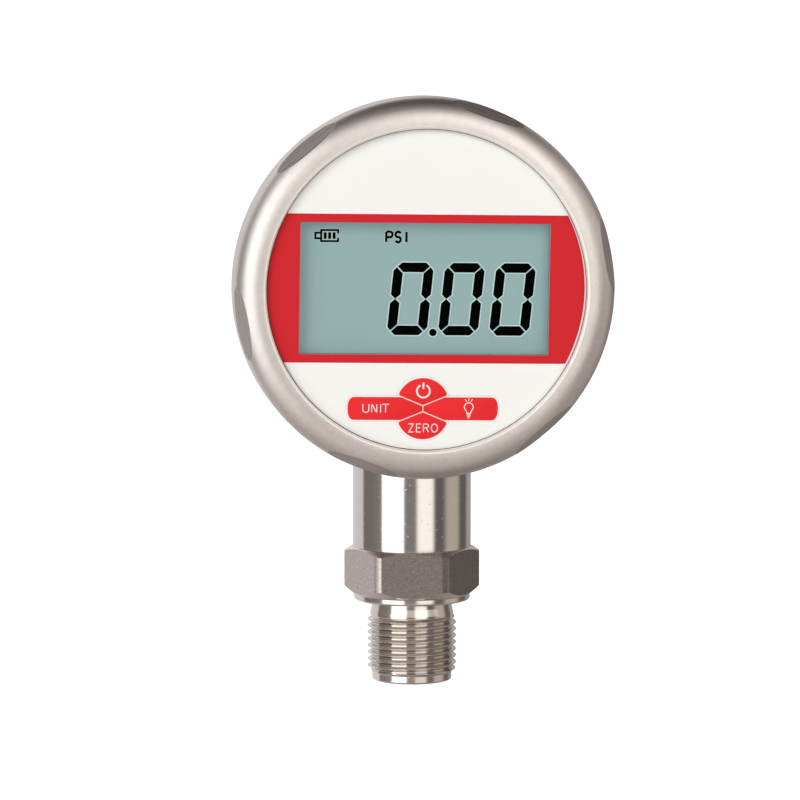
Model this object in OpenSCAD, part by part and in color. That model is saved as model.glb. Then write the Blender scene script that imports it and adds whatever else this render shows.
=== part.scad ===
// Digital pressure gauge with a lower threaded connection.
// Origin: centre of the connection's tip, on the stem axis. +Z runs up the stem, and the face looks along -Y.
// Case pieces are drawn in the face frame: x to the right, y up from the face centre, and
// z towards the viewer, measured from the stem axis. Places along that axis end in _f.

/* [Connection] */
// Outer diameter of the connection thread
thread_d = 19.9; // [19.5:0.1:20.5]
// Pitch of the connection thread
thread_pitch = 1.5; // [1.25:0.25:1.75]
// Number of thread ridges
thread_turns = 8; // [6:1:9]
// Depth of the plain tip below the thread's crests
tip_step = 1.05; // [1:0.05:1.3]
// Length of the plain tip
tip_len = 1.9; // [1.5:0.1:2.5]
// Depth of the relief groove below the thread's crests
relief_step = 1.15; // [1:0.05:1.4]
// Length of the relief groove between the thread and the sealing collar
relief_len = 4.3; // [3.5:0.1:5]
// Height of the sealing collar
seal_collar_h = 1.3; // [1:0.1:1.6]
// Width across the flats of the hexagon
hex_af = 27; // [26:0.5:30]
// Depth turned off the hexagon's corners
corner_cut = 0.49; // [0.3:0.01:0.6]
// Height of the hexagon with its chamfers
hex_h = 10.7; // [10:0.1:12]
// Height of the chamfer below the hexagon
hex_low_chamfer = 1.8; // [1.4:0.1:2]
// Height of the chamfer above the hexagon
hex_top_chamfer = 1.1; // [0.9:0.1:1.3]
// Turn of the hexagon from the face, in degrees
hex_turn = -6.7; // [-30:0.1:30]
// Diameter of the pressure port
port_d = 5; // [3:0.5:6]

/* [Stem] */
// Length of the neck between the hexagon and the case
neck_len = 22.3; // [20:0.1:30]
// Step between the hexagon's flats and the neck
neck_step = 0.3; // [0.2:0.05:0.6]
// Wall of the neck
neck_wall = 2; // [1.8:0.1:2.2]
// Wall of the stub that goes into the case
stub_wall = 3; // [2.5:0.1:3.4]
// Width of the nut inside the case, from the stub to a flat
nut_wall = 4; // [3.5:0.1:4.2]
// Height of the nut inside the case
nut_h = 4.5; // [3.5:0.1:4.8]

/* [Sensor] */
// Height of the sensor capsule
sensor_h = 11.5; // [10:0.1:12]
// Height of the ring that holds the capsule
ring_h = 4; // [3.6:0.1:4.4]
// Diameter of the cable from the sensor
cable_d = 2.6; // [2:0.1:3]

/* [Batteries] */
// Diameter of a battery cell
cell_d = 14.5; // [14:0.1:15]
// Length of a battery cell
cell_len = 50.5; // [49:0.1:52]
// Wall of the battery tray
tray_wall = 1.5; // [1.3:0.1:1.8]
// Distance of the cover screws from the middle, across
screw_x = 20; // [18:0.1:21]
// Diameter of a cover screw
screw_d = 3; // [2.6:0.1:3.2]

/* [Display] */
// Width of the display glass
lcd_w = 58; // [56:0.5:60]
// Height of the display glass
lcd_h = 34; // [32:0.1:36]
// Thickness of the display glass
lcd_t = 2.8; // [2.4:0.1:3]
// Height of a large digit
digit_h = 15.9; // [14:0.1:17]
// Width of a large digit
digit_w = 8.8; // [8:0.1:9.4]
// Distance from one large digit to the next
digit_pitch = 11.25; // [10.6:0.05:11.6]
// Width of a digit's stroke
stroke = 1.9; // [1.5:0.1:2.1]

/* [Keys] */
// Width of the two side keys together
bar_w = 33; // [30:0.5:35]
// Height of a side key
bar_h = 5; // [4.6:0.1:5.4]
// Corner radius of a side key
bar_corner = 1.9; // [1.5:0.1:2.2]
// Height of the upper and lower key together
dome_h = 13.3; // [12.6:0.1:14]
// Radius of the upper and lower key's outer arc
dome_r = 5.7; // [5.4:0.1:6]
// Half length of the short line at the middle of the keys
key_waist = 0.66; // [0.5:0.02:0.8]
// Rise of the lines between the keys, per unit of width
key_slope = 0.41; // [0.38:0.01:0.46]
// Width of the pale line between two keys
key_line = 0.25; // [0.2:0.01:0.4]
// Travel of a key
key_travel = 0.3; // [0.2:0.05:0.4]
// Height of a key top above the face
key_proud = 0.15; // [0.1:0.05:0.3]

/* [Face panel] */
// Thickness of the face panel
panel_t = 1.6; // [1.4:0.1:2]
// Clockwise turn of the face in its ring, in degrees
panel_turn = 1; // [-2:0.1:2]
// Place of the printed art to the right of the face centre
art_x = -0.4; // [-0.5:0.1:0.5]
// Place of the printed art above the face centre
art_y = 0.2; // [0:0.1:0.4]
// Height of the coloured band above and below the display opening
band_margin = 1.95; // [1:0.05:3]
// Thickness of the display window
window_t = 1; // [0.8:0.1:1.2]
// Depth from the back of the panel to the display board
post_h = 8.2; // [7.6:0.1:9]
// Diameter of a panel post
post_d = 5.6; // [5:0.1:6]

/* [Boards] */
// Thickness of the display board
board_t = 1.6; // [1.2:0.1:2]
// Room for wires between the battery tray and the board's sockets
wire_room = 8.4; // [7.6:0.1:12]
// Side of a key switch
switch_side = 4.5; // [4:0.1:4.8]
// Height of a key switch's body
switch_h = 3; // [2.6:0.1:3.2]

/* [Case] */
// Free space round what the case holds
case_room = 0.74; // [0.7:0.01:2]
// Wall of the case body
case_wall = 1.5; // [1.2:0.1:2]
// Thickness of the case's rear wall
rear_wall = 1.5; // [1.2:0.1:1.8]
// Step from the case body to the collar that carries the bezel
collar_step = 1.4; // [1.3:0.1:2]
// Step from the collar to the shoulder behind the bezel
shoulder_step = 1.3; // [1:0.1:2]
// Length of the shoulder behind the bezel
shoulder_w = 2.2; // [1.6:0.1:3]
// Thickness of the rear cover
cover_t = 3; // [2.8:0.1:4]

/* [Bezel] */
// Wall of the bezel round the collar
bezel_wall = 2.9; // [2.5:0.1:3.4]
// Length of the bezel from front to back
bezel_depth = 12; // [11:0.1:13]
// Width of the bezel's front, from the opening to the outer edge
rim_w = 6.7; // [6:0.1:7.2]
// Height of the rounded shoulder, along the axis
crown_h = 4.6; // [4:0.1:5.2]
// Depth of the face below the bezel's front
face_recess = 1.8; // [1.6:0.1:2.4]
// Number of wrench flats on the shoulder
flat_count = 6; // [4:1:8]
// Length of one wrench flat
flat_len = 16.5; // [12:0.5:18]
// Tilt of a wrench flat towards the front
flat_tilt = 28; // [24:1:32]
// Turn of the first wrench flat from the right
flat_turn = 10; // [0:1:30]

/* [Hidden] */
$fn = 96;
// Radial clearance of turned fits, gap at curved seats, and the overrun of cuts
fit = 0.05;
seat = 0.3;
over = 1;
// Unit axis of a mirrored pair
sides = [-1, 1];

// Connection
thread_r = thread_d / 2;
thread_depth = thread_pitch * cos(30) * 17 / 24;
root_r = thread_r - thread_depth;
tip_r = thread_r - tip_step;
relief_r = thread_r - relief_step;
crest_flat = thread_pitch / 8;
flank = thread_depth * tan(30);
root_flat = thread_pitch - crest_flat - 2 * flank;
thread_z = tip_len + root_flat;
thread_end_z = thread_z + thread_turns * thread_pitch - root_flat;
edge = 0.35;
hex_corner_r = hex_af / 2 / cos(30) - corner_cut;
seal_collar_step = 0.5;
seal_collar_r = hex_af / 2 - seal_collar_step;
collar_z = thread_end_z + relief_len;
hex_z = collar_z + seal_collar_h;
neck_z = hex_z + hex_h;
neck_r = hex_af / 2 - neck_step;
neck_bore_r = neck_r - neck_wall;

// Sensor
pocket_floor = 2.8;
port_len = collar_z + pocket_floor;
spigot_wall = 1.6;
spigot_lip = 0.7;
spigot_r = neck_bore_r - fit;
pocket_r = spigot_r - spigot_wall;
sensor_r = pocket_r - fit;
ring_z = port_len + sensor_h;
spigot_top_z = ring_z + ring_h + spigot_lip;
capsule_edge = 1.5;
capsule_dish = 0.5;
capsule_seal_r = 0.8;
capsule_groove = 1.7;
groove_z = port_len + sensor_h / 3;
groove_r = sensor_r - capsule_groove;
ring_width = 3.6;
ring_slot = 2.2;
pin_count = 5;
pin_ring_r = 4;
pin_r = 0.3;
sensor_board_t = 1.2;
sensor_board_z = spigot_top_z + sensor_board_t;
plug_h = 3;
plug_wall = 1;
cable_r = cable_d / 2;

// Stub of the neck, with its washer, seal and nut
stub_step = 3.2;
stub_r = neck_bore_r - stub_step;
duct_r = stub_r - stub_wall;
nut_af = 2 * (stub_r + nut_wall);
washer_edge_t = 1.2;
washer_r = stub_r + nut_wall;
stub_end = 1.2;
neck_room = 8;
neck_bore_top_z = spigot_top_z + neck_room;
neck_seal_r = 0.7;
neck_seal_gap = 0.15;
neck_seal_ring_r = stub_r + neck_seal_r + neck_seal_gap;

// Batteries
cell_gap = 1.2;
cell_play = 0.5;
rib_t = 0.6;
nub_len = 1.2;
nub_d = 5.2;
end_room = 2.6;
contact_t = 0.6;
contact_w = 9;
tray_y = 1;
tray_in_w = cell_len + 2 * end_room;
tray_in_h = 2 * cell_d + cell_gap + 2 * cell_play;
tray_w = tray_in_w + 2 * tray_wall;
tray_h = tray_in_h + 2 * tray_wall;
boss_d = 7.2;
boss_len = 8;
boss_gap = 2.3;
screw_y = tray_h / 2 + tray_y + boss_gap + boss_d / 2;
tray_rim = 1.8;
tray_rim_h = screw_y + boss_d / 2;
door_lap = 0.5;
door_w = tray_in_w - 2 * door_lap;
door_h = tray_in_h - 2 * door_lap;

// Display, from the art's centre
frame_wall = 1;
lcd_play = 0.2;
frame_w = lcd_w + 2 * (lcd_play + frame_wall);
frame_h = lcd_h + 2 * (lcd_play + frame_wall);
window_lap = 1.7;
window_w = lcd_w - 2 * window_lap;
window_sill = 2.7;
window_h = lcd_h - 2 * window_sill;
band_h = window_h + 2 * band_margin;
strip_h = 2.2;
strip_y = lcd_h / 2 - strip_h / 2 - lcd_play;
light_h = 2 * strip_y - strip_h - 2 * lcd_play;
light_gap = 0.1;
print_t = 0.05;

// Digits: slant per unit of height, gap between strokes, and the middle digit's centre
digit_slant = 0.085;
digit_gap = 0.14;
digits_inset = 20.5;
digits_x = lcd_w / 2 - digits_inset;
digits_y = -2.4;
point_r = 0.82;
sign_w = 4.7;
sign_h = 2.5;
sign_line = 0.3;
sign_nub = 0.5;
sign_inset = 8;
sign_drop = 3.1;

// Keys, from the group's centre
key_rim = 0.3;
key_play = 0.08;
key_flange = 0.6;
key_flange_t = 0.6;
key_split = 0.03;
key_margin = key_rim + key_flange;
keys_gap = 0.45;
keys_drop = frame_h / 2 + keys_gap + key_margin + dome_h / 2;
plunger_d = 2.4;
plunger_gap = 0.1;
dome_mid = dome_h / 2 - dome_r;
bar_plunger_share = 0.32;
dome_plunger_share = 0.33;
power_at = [0, dome_h * dome_plunger_share];
zero_at = -power_at;
light_at = [bar_w * bar_plunger_share, 0];
units_at = -light_at;
post_gap = 1;
post_side_gap = 1.8;
post_x = bar_w / 2 + key_margin + post_side_gap + post_d / 2;
post_y = frame_h / 2 + post_gap + post_d / 2;

// The case is as wide as the widest thing it holds
nut_reach = norm([tray_rim_h + seat + nut_h + washer_edge_t, washer_r]);
case_in_r = max(
    norm([frame_w, frame_h]) / 2 + case_room,
    norm([tray_w / 2, tray_h / 2 + tray_y]) + case_room,
    norm([screw_x, screw_y]) + boss_d / 2 + case_room,
    norm([bar_w / 2 + key_margin, keys_drop + bar_h / 2 + key_margin]) + case_room,
    keys_drop + dome_h / 2 + key_margin + case_room,
    nut_reach
);
case_r = case_in_r + case_wall;
collar_r = case_r + collar_step;
shoulder_r = collar_r + shoulder_step;
bezel_r = collar_r + bezel_wall;
face_r = bezel_r - rim_w;
lip_round = 0.7;
crown_w = rim_w - lip_round;
rim_round = 0.5;
crown_steps = 18;
lip_steps = 6;
collar_lap = 1.3;
panel_r = collar_r - collar_lap;
panel_bore_r = panel_r + seat;
board_gap = 0.7;
board_r = case_in_r - board_gap;
cover_step = 2.3;
cover_r = case_r - cover_step;

// Places along the stem axis
case_low_z = neck_z + neck_len;
face_z = case_low_z + case_r;
case_floor_z = face_z - case_in_r;
washer_edge_z = face_z - sqrt(case_in_r ^ 2 - washer_r ^ 2);
washer_top_z = washer_edge_z + washer_edge_t;
nut_top_z = washer_top_z + nut_h;
stub_top_z = nut_top_z + stub_end;
neck_seal_z = face_z - sqrt(case_in_r ^ 2 - neck_seal_ring_r ^ 2) + neck_seal_r + neck_seal_gap;
cable_gap = 2;
cable_drop = tray_h / 2 - tray_y + cable_r + cable_gap;
cable_bend_r = 8;
cable_z = face_z - cable_drop;

// Places along the face's axis, from the rear wall to the front
case_rear_step = 2.3;
case_back = neck_r + case_rear_step;
rear_in_f = rear_wall - case_back;
cell_back_room = 1.9;
cell_f = rear_in_f + cell_back_room + cell_d / 2;
tray_floor_f = cell_f + cell_d / 2 + cell_play;
tray_front_f = tray_floor_f + tray_wall;
socket_h = 3;
socket_f = tray_front_f + wire_room;
board_back_f = socket_f + socket_h;
board_f = board_back_f + board_t;
panel_back_f = board_f + post_h;
panel_f = panel_back_f + panel_t;
front_f = panel_f + face_recess;
bezel_back_f = front_f - bezel_depth;
shoulder_f = bezel_back_f - seat;
gasket_t = 0.5;
lip_f = panel_f + gasket_t;
seal_minor_r = 0.6;
seal_f = bezel_back_f + 2 * seal_minor_r;
window_back_f = panel_back_f - window_t;
lcd_gap = 0.4;
lcd_f = window_back_f - lcd_gap;
lcd_back_f = lcd_f - lcd_t;
switch_cap_h = 1;
switch_top_f = board_f + switch_h + switch_cap_h;
switch_cap_d = 2.6;
plunger_f = switch_top_f + key_travel + plunger_gap;
rear_gasket_t = 0.6;
gasket_back_f = -case_back - rear_gasket_t;
gasket_edge = 0.5;
cover_back_f = gasket_back_f - cover_t;
cover_dish = 0.6;

// Screws and the vent
board_screw_d = 2.1;
board_screw_head_d = 4.4;
board_screw_head_h = 1.4;
board_screw_len = 6;
screw_head_d = 5.5;
screw_head_h = 1.9;
screw_sink = 2;
screw_len = 9;
vent_d = 4;
vent_head_d = 6;
vent_head_t = 0.8;
vent_y = screw_y + boss_d / 2 + vent_d / 2 + over;

// Support distance of the bezel's shoulder along a flat's normal, and the depth of the cut
crown_reach = norm([crown_w * cos(flat_tilt), crown_h * sin(flat_tilt)]);
flat_support = (bezel_r - crown_w) * cos(flat_tilt) + (front_f - crown_h) * sin(flat_tilt) + crown_reach;
flat_depth = (bezel_r - sqrt(bezel_r ^ 2 - (flat_len / 2) ^ 2)) * cos(flat_tilt);

// Parts on the back of the display board
chip_w = 10;
chip_t = 1.6;
chip_at_share = [-0.29, 0.14];
crystal_size = [7, 3.4];
crystal_at_share = [-0.29, -0.2];
capacitor_d = 4;
capacitor_h = 3.2;
capacitor_at_shares = [[0.29, 0.2], [0.29, 0.48]];
resistor_size = [1, 2];
resistor_t = 0.5;
resistor_count = 5;
resistor_pitch = 3;
resistor_y_share = -0.35;
lead_x = 12;
lead_pitch = 3;
lead_d = 1.2;

// Springs of the cells
spring_turns = 3;
spring_wire_r = 0.35;
spring_r = 3.6;
spring_len = end_room - 2 * spring_wire_r;
spring_steps = 14;
spring_sides = 6;
spring_rows = spring_turns * spring_steps;

steel = "#b8b0a8";
dark_steel = "#77706b";
inner_steel = "#a8a8aa";
red = "#d42e34";
key_red = "#f03a3e";
black_plastic = "#26272a";
rubber = "#1b1b1c";
board_green = "#1d6b45";

// Face frame, and the same frame turned and shifted with the printed face
module in_case() {
    translate([0, 0, face_z])
        rotate([90, 0, 0])
            children();
}

module in_panel() {
    in_case()
        rotate([0, 0, -panel_turn])
            children();
}

module in_art() {
    in_panel()
        translate([art_x, art_y, 0])
            children();
}

// A flat shape made solid from a back place to a front place
module slab(back_f, top_f) {
    translate([0, 0, back_f])
        linear_extrude(top_f - back_f)
            children();
}

module at_posts() {
    for (sx = sides, sy = sides)
        translate([sx * post_x, sy * post_y])
            children();
}

module at_screws() {
    for (sx = sides, sy = sides)
        translate([sx * screw_x, sy * screw_y])
            children();
}

// Ring of a bent tube, turned round the z axis
module torus(ring_r, tube_r) {
    rotate_extrude()
        translate([ring_r, 0])
            circle(tube_r, $fn = 32);
}

// Points of a quarter of an ellipse, from the outer side to the top
function quarter(cx, cy, a, b, steps) =
    [for (i = [0:steps]) [cx + a * cos(90 * i / steps), cy + b * sin(90 * i / steps)]];

// Bezel
module bezel_ring() {
    shoulder = quarter(bezel_r - crown_w, front_f - crown_h, crown_w, crown_h, crown_steps);
    lip = [for (i = [1:lip_steps])
        [bezel_r - crown_w, front_f - lip_round] + lip_round * [-sin(90 * i / lip_steps), cos(90 * i / lip_steps)]];
    inside = [
        [face_r, lip_f], [panel_bore_r, lip_f], [panel_bore_r, panel_back_f + seat],
        [collar_r + fit, panel_back_f + seat], [collar_r + fit, bezel_back_f],
        [bezel_r - rim_round, bezel_back_f], [bezel_r, bezel_back_f + rim_round]
    ];
    color(steel)
        in_case()
            difference() {
                rotate_extrude()
                    polygon(concat(shoulder, lip, inside));
                for (i = [0:flat_count - 1])
                    rotate([0, 0, flat_turn + 360 * i / flat_count])
                        rotate([0, -flat_tilt, 0])
                            translate([flat_support - flat_depth, -flat_len, -flat_len])
                                cube([crown_w, 2 * flat_len, 2 * flat_len]);
            }
}

module bezel_seal() {
    color(rubber)
        in_case()
            translate([0, 0, seal_f])
                torus(collar_r - seal_minor_r, seal_minor_r - fit);
}

module panel_gasket() {
    color(rubber)
        in_case()
            slab(panel_f, lip_f)
                difference() {
                    circle(panel_r);
                    circle(face_r + seat);
                }
}

// Outline of the two side keys together, grown by a margin, about the group's centre
module key_bar(grow) {
    side = bar_w / 2 + grow - bar_corner;
    rise = bar_h / 2 + grow - bar_corner;
    square([2 * side, bar_h + 2 * grow], center = true);
    square([bar_w + 2 * grow, 2 * rise], center = true);
    for (sx = sides, sy = sides)
        translate([sx * side, sy * rise])
            circle(bar_corner, $fn = 48);
}

// Outline of the upper key, or of the lower one, before its V is cut
module key_dome(grow, sy) {
    intersection() {
        translate([0, sy * dome_mid])
            circle(dome_r + grow);
        translate([0, sy * dome_h / 2])
            square([2 * dome_h, dome_h + 2 * grow], center = true);
    }
}

module key_group(grow) {
    key_bar(grow);
    for (sy = sides)
        key_dome(grow, sy);
}

// The part of the plane that belongs to one key, drawn in from the dividing lines
module key_sector(name, inset) {
    drop = inset * sqrt(1 + key_slope ^ 2);
    far_y = key_waist + bar_w * key_slope;
    if (name == "power")
        polygon([[0, key_waist + drop], [bar_w, far_y + drop], [-bar_w, far_y + drop]]);
    if (name == "zero")
        polygon([[0, -key_waist - drop], [-bar_w, -far_y - drop], [bar_w, -far_y - drop]]);
    if (name == "units" || name == "light") {
        sx = name == "units" ? -1 : 1;
        near_y = key_waist - drop + inset * key_slope;
        polygon([
            [sx * inset, near_y], [sx * bar_w, far_y - drop],
            [sx * bar_w, drop - far_y], [sx * inset, -near_y]
        ]);
    }
}

module key_shape(name, grow, inset) {
    intersection() {
        if (name == "power")
            key_dome(grow, 1);
        else if (name == "zero")
            key_dome(grow, -1);
        else
            key_bar(grow);
        key_sector(name, inset);
    }
}

module key(name, place) {
    in_art()
        translate([0, -keys_drop]) {
            flange_f = panel_back_f - seat;
            color(key_red)
                slab(panel_f, panel_f + key_proud)
                    key_shape(name, 0, key_line / 2);
            color("white") {
                slab(flange_f, panel_f)
                    key_shape(name, key_rim, key_split);
                slab(flange_f - key_flange_t, flange_f)
                    key_shape(name, key_rim + key_flange, key_split);
                translate(place)
                    slab(plunger_f, flange_f - key_flange_t)
                        circle(d = plunger_d);
            }
        }
}

module power_key() {
    key("power", power_at);
}

module zero_key() {
    key("zero", zero_at);
}

module units_key() {
    key("units", units_at);
}

module light_key() {
    key("light", light_at);
}

// The coloured band round the display opening, as thick as its print
module band() {
    slab(panel_f - print_t, panel_f)
        difference() {
            intersection() {
                square([2 * face_r, band_h], center = true);
                translate([-art_x, -art_y])
                    circle(face_r);
            }
            square([window_w, window_h], center = true);
        }
}

module face_panel() {
    color("white")
        difference() {
            union() {
                in_case()
                    slab(panel_back_f, panel_f)
                        circle(panel_r);
                in_panel()
                    slab(board_f, panel_back_f)
                        at_posts()
                            circle(d = post_d);
            }
            in_art() {
                slab(panel_back_f - over, panel_f + over)
                    square([window_w, window_h], center = true);
                translate([0, -keys_drop])
                    slab(panel_back_f - over, panel_f + over)
                        key_group(key_rim + key_play);
                band();
            }
            in_panel()
                slab(board_f - over, panel_back_f - over)
                    at_posts()
                        circle(d = board_screw_d + 2 * fit);
        }
    color(red)
        in_art()
            band();
}

module display_window() {
    color("#dfe8ea", 0.35)
        in_art()
            slab(window_back_f, panel_back_f)
                square([window_w + 2 * window_lap, window_h + 2 * window_lap], center = true);
}

// Display
module lcd_glass() {
    middle_f = (lcd_f + lcd_back_f) / 2;
    color("#92adae")
        in_art() {
            slab(lcd_back_f, middle_f)
                square([lcd_w, lcd_h], center = true);
            slab(middle_f, lcd_f)
                square([lcd_w, window_h + window_lap], center = true);
        }
}

// One lying stroke of a digit, with mitred ends, and one standing stroke
function lean(points) = [for (p = points) [p[0] + p[1] * digit_slant, p[1]]];
function lying(y, t) = [
    [-digit_w / 2 + digit_gap, y], [digit_w / 2 - digit_gap, y],
    [digit_w / 2 - digit_gap - stroke, y - t], [-digit_w / 2 + digit_gap + stroke, y - t]
];
function standing(x, t, sy) = [
    [x, sy * digit_gap + sy * stroke / 2], [x, sy * (digit_h / 2 - digit_gap)],
    [x + t, sy * (digit_h / 2 - digit_gap - stroke)], [x + t, sy * (digit_gap + stroke)],
    [x + t / 2, sy * digit_gap]
];

module zero_digit() {
    for (sy = sides) {
        polygon(lean(lying(sy * digit_h / 2, sy * stroke)));
        for (sx = sides)
            polygon(lean(standing(sx * digit_w / 2, -sx * stroke, sy)));
    }
}

// Battery sign: a body with three bars and a nub on its left
module battery_sign() {
    bar_pitch = (sign_w - sign_line) / 4;
    bar_size = [bar_pitch - sign_line, sign_h - 4 * sign_line];
    difference() {
        square([sign_w, sign_h], center = true);
        square([sign_w - 2 * sign_line, sign_h - 2 * sign_line], center = true);
    }
    for (i = [-1:1])
        translate([i * bar_pitch, 0])
            square(bar_size, center = true);
    translate([-(sign_w + sign_nub) / 2, 0])
        square([sign_nub, sign_h / 2], center = true);
}

module lcd_segments() {
    color("black")
        in_art()
            slab(lcd_f, lcd_f + print_t) {
                for (i = [-1:1])
                    translate([digits_x + i * digit_pitch, digits_y])
                        zero_digit();
                translate([digits_x - digit_pitch / 2, digits_y - digit_h / 2 + point_r])
                    circle(point_r, $fn = 24);
                translate([sign_inset - lcd_w / 2, window_h / 2 - sign_drop])
                    battery_sign();
            }
}

module lcd_frame() {
    color(black_plastic)
        in_art()
            slab(board_f, lcd_f)
                difference() {
                    square([frame_w, frame_h], center = true);
                    square([lcd_w + 2 * lcd_play, lcd_h + 2 * lcd_play], center = true);
                }
}

module backlight_panel() {
    color("ivory")
        in_art()
            slab(board_f, lcd_back_f - light_gap)
                square([lcd_w - 2 * frame_wall, light_h], center = true);
}

module contact_strips() {
    color("gray")
        in_art()
            slab(board_f, lcd_back_f)
                for (sy = sides)
                    translate([0, sy * strip_y])
                        square([lcd_w - 4 * frame_wall, strip_h], center = true);
}

// Boards
module display_board() {
    color(board_green)
        in_panel()
            slab(board_back_f, board_f)
                difference() {
                    circle(board_r);
                    at_posts()
                        circle(d = board_screw_d + 2 * fit);
                }
}

module key_switches() {
    color("silver")
        in_art()
            translate([0, -keys_drop])
                for (place = [power_at, zero_at, units_at, light_at])
                    translate(place) {
                        slab(board_f, board_f + switch_h)
                            square(switch_side, center = true);
                        slab(board_f + switch_h, switch_top_f)
                            circle(d = switch_cap_d, $fn = 48);
                    }
}

module microcontroller() {
    color(black_plastic)
        in_panel()
            slab(board_back_f - chip_t, board_back_f)
                translate(chip_at_share * board_r)
                    square(chip_w, center = true);
}

// Crystal, two capacitors and a row of resistors on the back of the display board
module board_parts() {
    color("tan")
        in_panel() {
            slab(board_back_f - chip_t, board_back_f)
                translate(crystal_at_share * board_r)
                    square(crystal_size, center = true);
            slab(board_back_f - capacitor_h, board_back_f)
                for (place = capacitor_at_shares)
                    translate(place * board_r)
                        circle(d = capacitor_d, $fn = 48);
            slab(board_back_f - resistor_t, board_back_f)
                for (i = [0:resistor_count - 1])
                    translate([(i - (resistor_count - 1) / 2) * resistor_pitch, resistor_y_share * board_r])
                        square(resistor_size, center = true);
        }
}

module board_sockets() {
    color("ivory")
        in_case()
            slab(socket_f, board_back_f) {
                translate([0, -cable_drop])
                    square([2 * cable_d, cable_d + 2 * plug_wall], center = true);
                translate([lead_x, tray_y])
                    square([lead_pitch + lead_d + 2 * plug_wall, lead_d + 2 * plug_wall], center = true);
            }
}

module board_screws() {
    color(inner_steel)
        in_panel()
            at_posts() {
                slab(board_back_f - board_screw_head_h, board_back_f)
                    circle(d = board_screw_head_d, $fn = 48);
                slab(board_back_f, board_back_f + board_screw_len)
                    circle(d = board_screw_d, $fn = 48);
            }
}

// Case
module case_shell() {
    color(steel)
        difference() {
            in_case()
                difference() {
                    union() {
                        slab(-case_back, shoulder_f)
                            circle(case_r);
                        slab(shoulder_f - shoulder_w, shoulder_f)
                            circle(shoulder_r);
                        slab(shoulder_f, panel_back_f)
                            circle(collar_r);
                    }
                    slab(rear_in_f, panel_back_f + over)
                        circle(case_in_r);
                    slab(-case_back - over, rear_in_f + over) {
                        translate([0, tray_y])
                            square([door_w, door_h], center = true);
                        at_screws()
                            circle(d = screw_d + 2 * fit);
                        translate([0, vent_y])
                            circle(d = vent_d / 2);
                    }
                    translate([0, 0, seal_f])
                        slab(-seal_minor_r, seal_minor_r)
                            difference() {
                                circle(collar_r + over);
                                circle(collar_r - 2 * seal_minor_r);
                            }
                }
            translate([0, 0, case_low_z - stub_r])
                cylinder(h = 2 * stub_r, r = stub_r + fit);
        }
}

module rear_gasket() {
    color(rubber)
        in_case()
            slab(gasket_back_f, -case_back)
                difference() {
                    circle(cover_r - gasket_edge);
                    translate([0, tray_y])
                        square([door_w + fit, door_h + fit], center = true);
                    at_screws()
                        circle(d = screw_d + 2 * gasket_edge);
                    translate([0, vent_y])
                        circle(d = vent_d / 2);
                }
}

// Moulded cover with sunk screw seats, a shallow dished middle and a hole for the vent
module rear_cover() {
    color(black_plastic)
        in_case()
            difference() {
                rotate_extrude()
                    polygon([
                        [0, gasket_back_f], [cover_r, gasket_back_f], [cover_r, cover_back_f + cover_dish],
                        [cover_r - cover_dish, cover_back_f], [0, cover_back_f]
                    ]);
                slab(cover_back_f - over, cover_back_f + cover_dish)
                    translate([0, tray_y])
                        square([door_w, door_h], center = true);
                slab(cover_back_f - over, gasket_back_f + over)
                    at_screws()
                        circle(d = screw_d + 2 * fit);
                slab(cover_back_f - over, cover_back_f + screw_sink)
                    at_screws()
                        circle(d = screw_head_d + 2 * seat, $fn = 48);
                slab(cover_back_f - over, gasket_back_f + over)
                    translate([0, vent_y])
                        circle(d = vent_d, $fn = 48);
            }
}

module cover_screws() {
    color(inner_steel)
        in_case()
            at_screws()
                difference() {
                    head_f = cover_back_f + screw_sink;
                    union() {
                        slab(head_f - screw_head_h, head_f)
                            circle(d = screw_head_d, $fn = 48);
                        slab(head_f, head_f + screw_len)
                            circle(d = screw_d, $fn = 48);
                    }
                    slab(head_f - screw_head_h - over, head_f - screw_head_h / 2)
                        circle(d = screw_d, $fn = 6);
                }
}

// Breathing plug in the rear cover
module vent_plug() {
    color(black_plastic)
        in_case()
            translate([0, vent_y]) {
                slab(cover_back_f, gasket_back_f)
                    circle(d = vent_d - 2 * fit, $fn = 48);
                slab(cover_back_f - vent_head_t, cover_back_f)
                    circle(d = vent_head_d, $fn = 48);
            }
}

// Batteries
module battery_tray() {
    color(black_plastic)
        in_case()
            difference() {
                union() {
                    translate([0, tray_y])
                        slab(rear_in_f, tray_front_f)
                            square([tray_w, tray_h], center = true);
                    slab(rear_in_f, rear_in_f + tray_rim)
                        intersection() {
                            square([2 * screw_x + boss_d, 2 * tray_rim_h], center = true);
                            circle(case_in_r - 2 * seat);
                        }
                    at_screws()
                        slab(rear_in_f, rear_in_f + boss_len)
                            circle(d = boss_d, $fn = 48);
                }
                translate([0, tray_y])
                    slab(rear_in_f - over, tray_floor_f)
                        difference() {
                            square([tray_in_w, tray_in_h], center = true);
                            square([tray_in_w + over, rib_t], center = true);
                        }
                slab(rear_in_f - over, cell_f)
                    translate([0, tray_y])
                        square([tray_in_w, rib_t + over], center = true);
                slab(rear_in_f - over, rear_in_f + boss_len - over)
                    at_screws()
                        circle(d = screw_d + 2 * fit, $fn = 48);
            }
}

// Centre of the upper row of the tray, or of the lower one
module in_row(row) {
    in_case()
        translate([0, tray_y + row * (cell_d + cell_gap) / 2, cell_f])
            children();
}

// A cell lies along x with its nub at one end
module cell(row) {
    in_row(row)
        rotate([0, 90 * row, 0]) {
            translate([0, 0, -cell_len / 2])
                cylinder(h = cell_len - nub_len, d = cell_d);
            translate([0, 0, cell_len / 2 - nub_len])
                cylinder(h = nub_len, d = nub_d);
        }
}

module upper_cell() {
    color("goldenrod")
        cell(1);
}

module lower_cell() {
    color("goldenrod")
        cell(-1);
}

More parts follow.
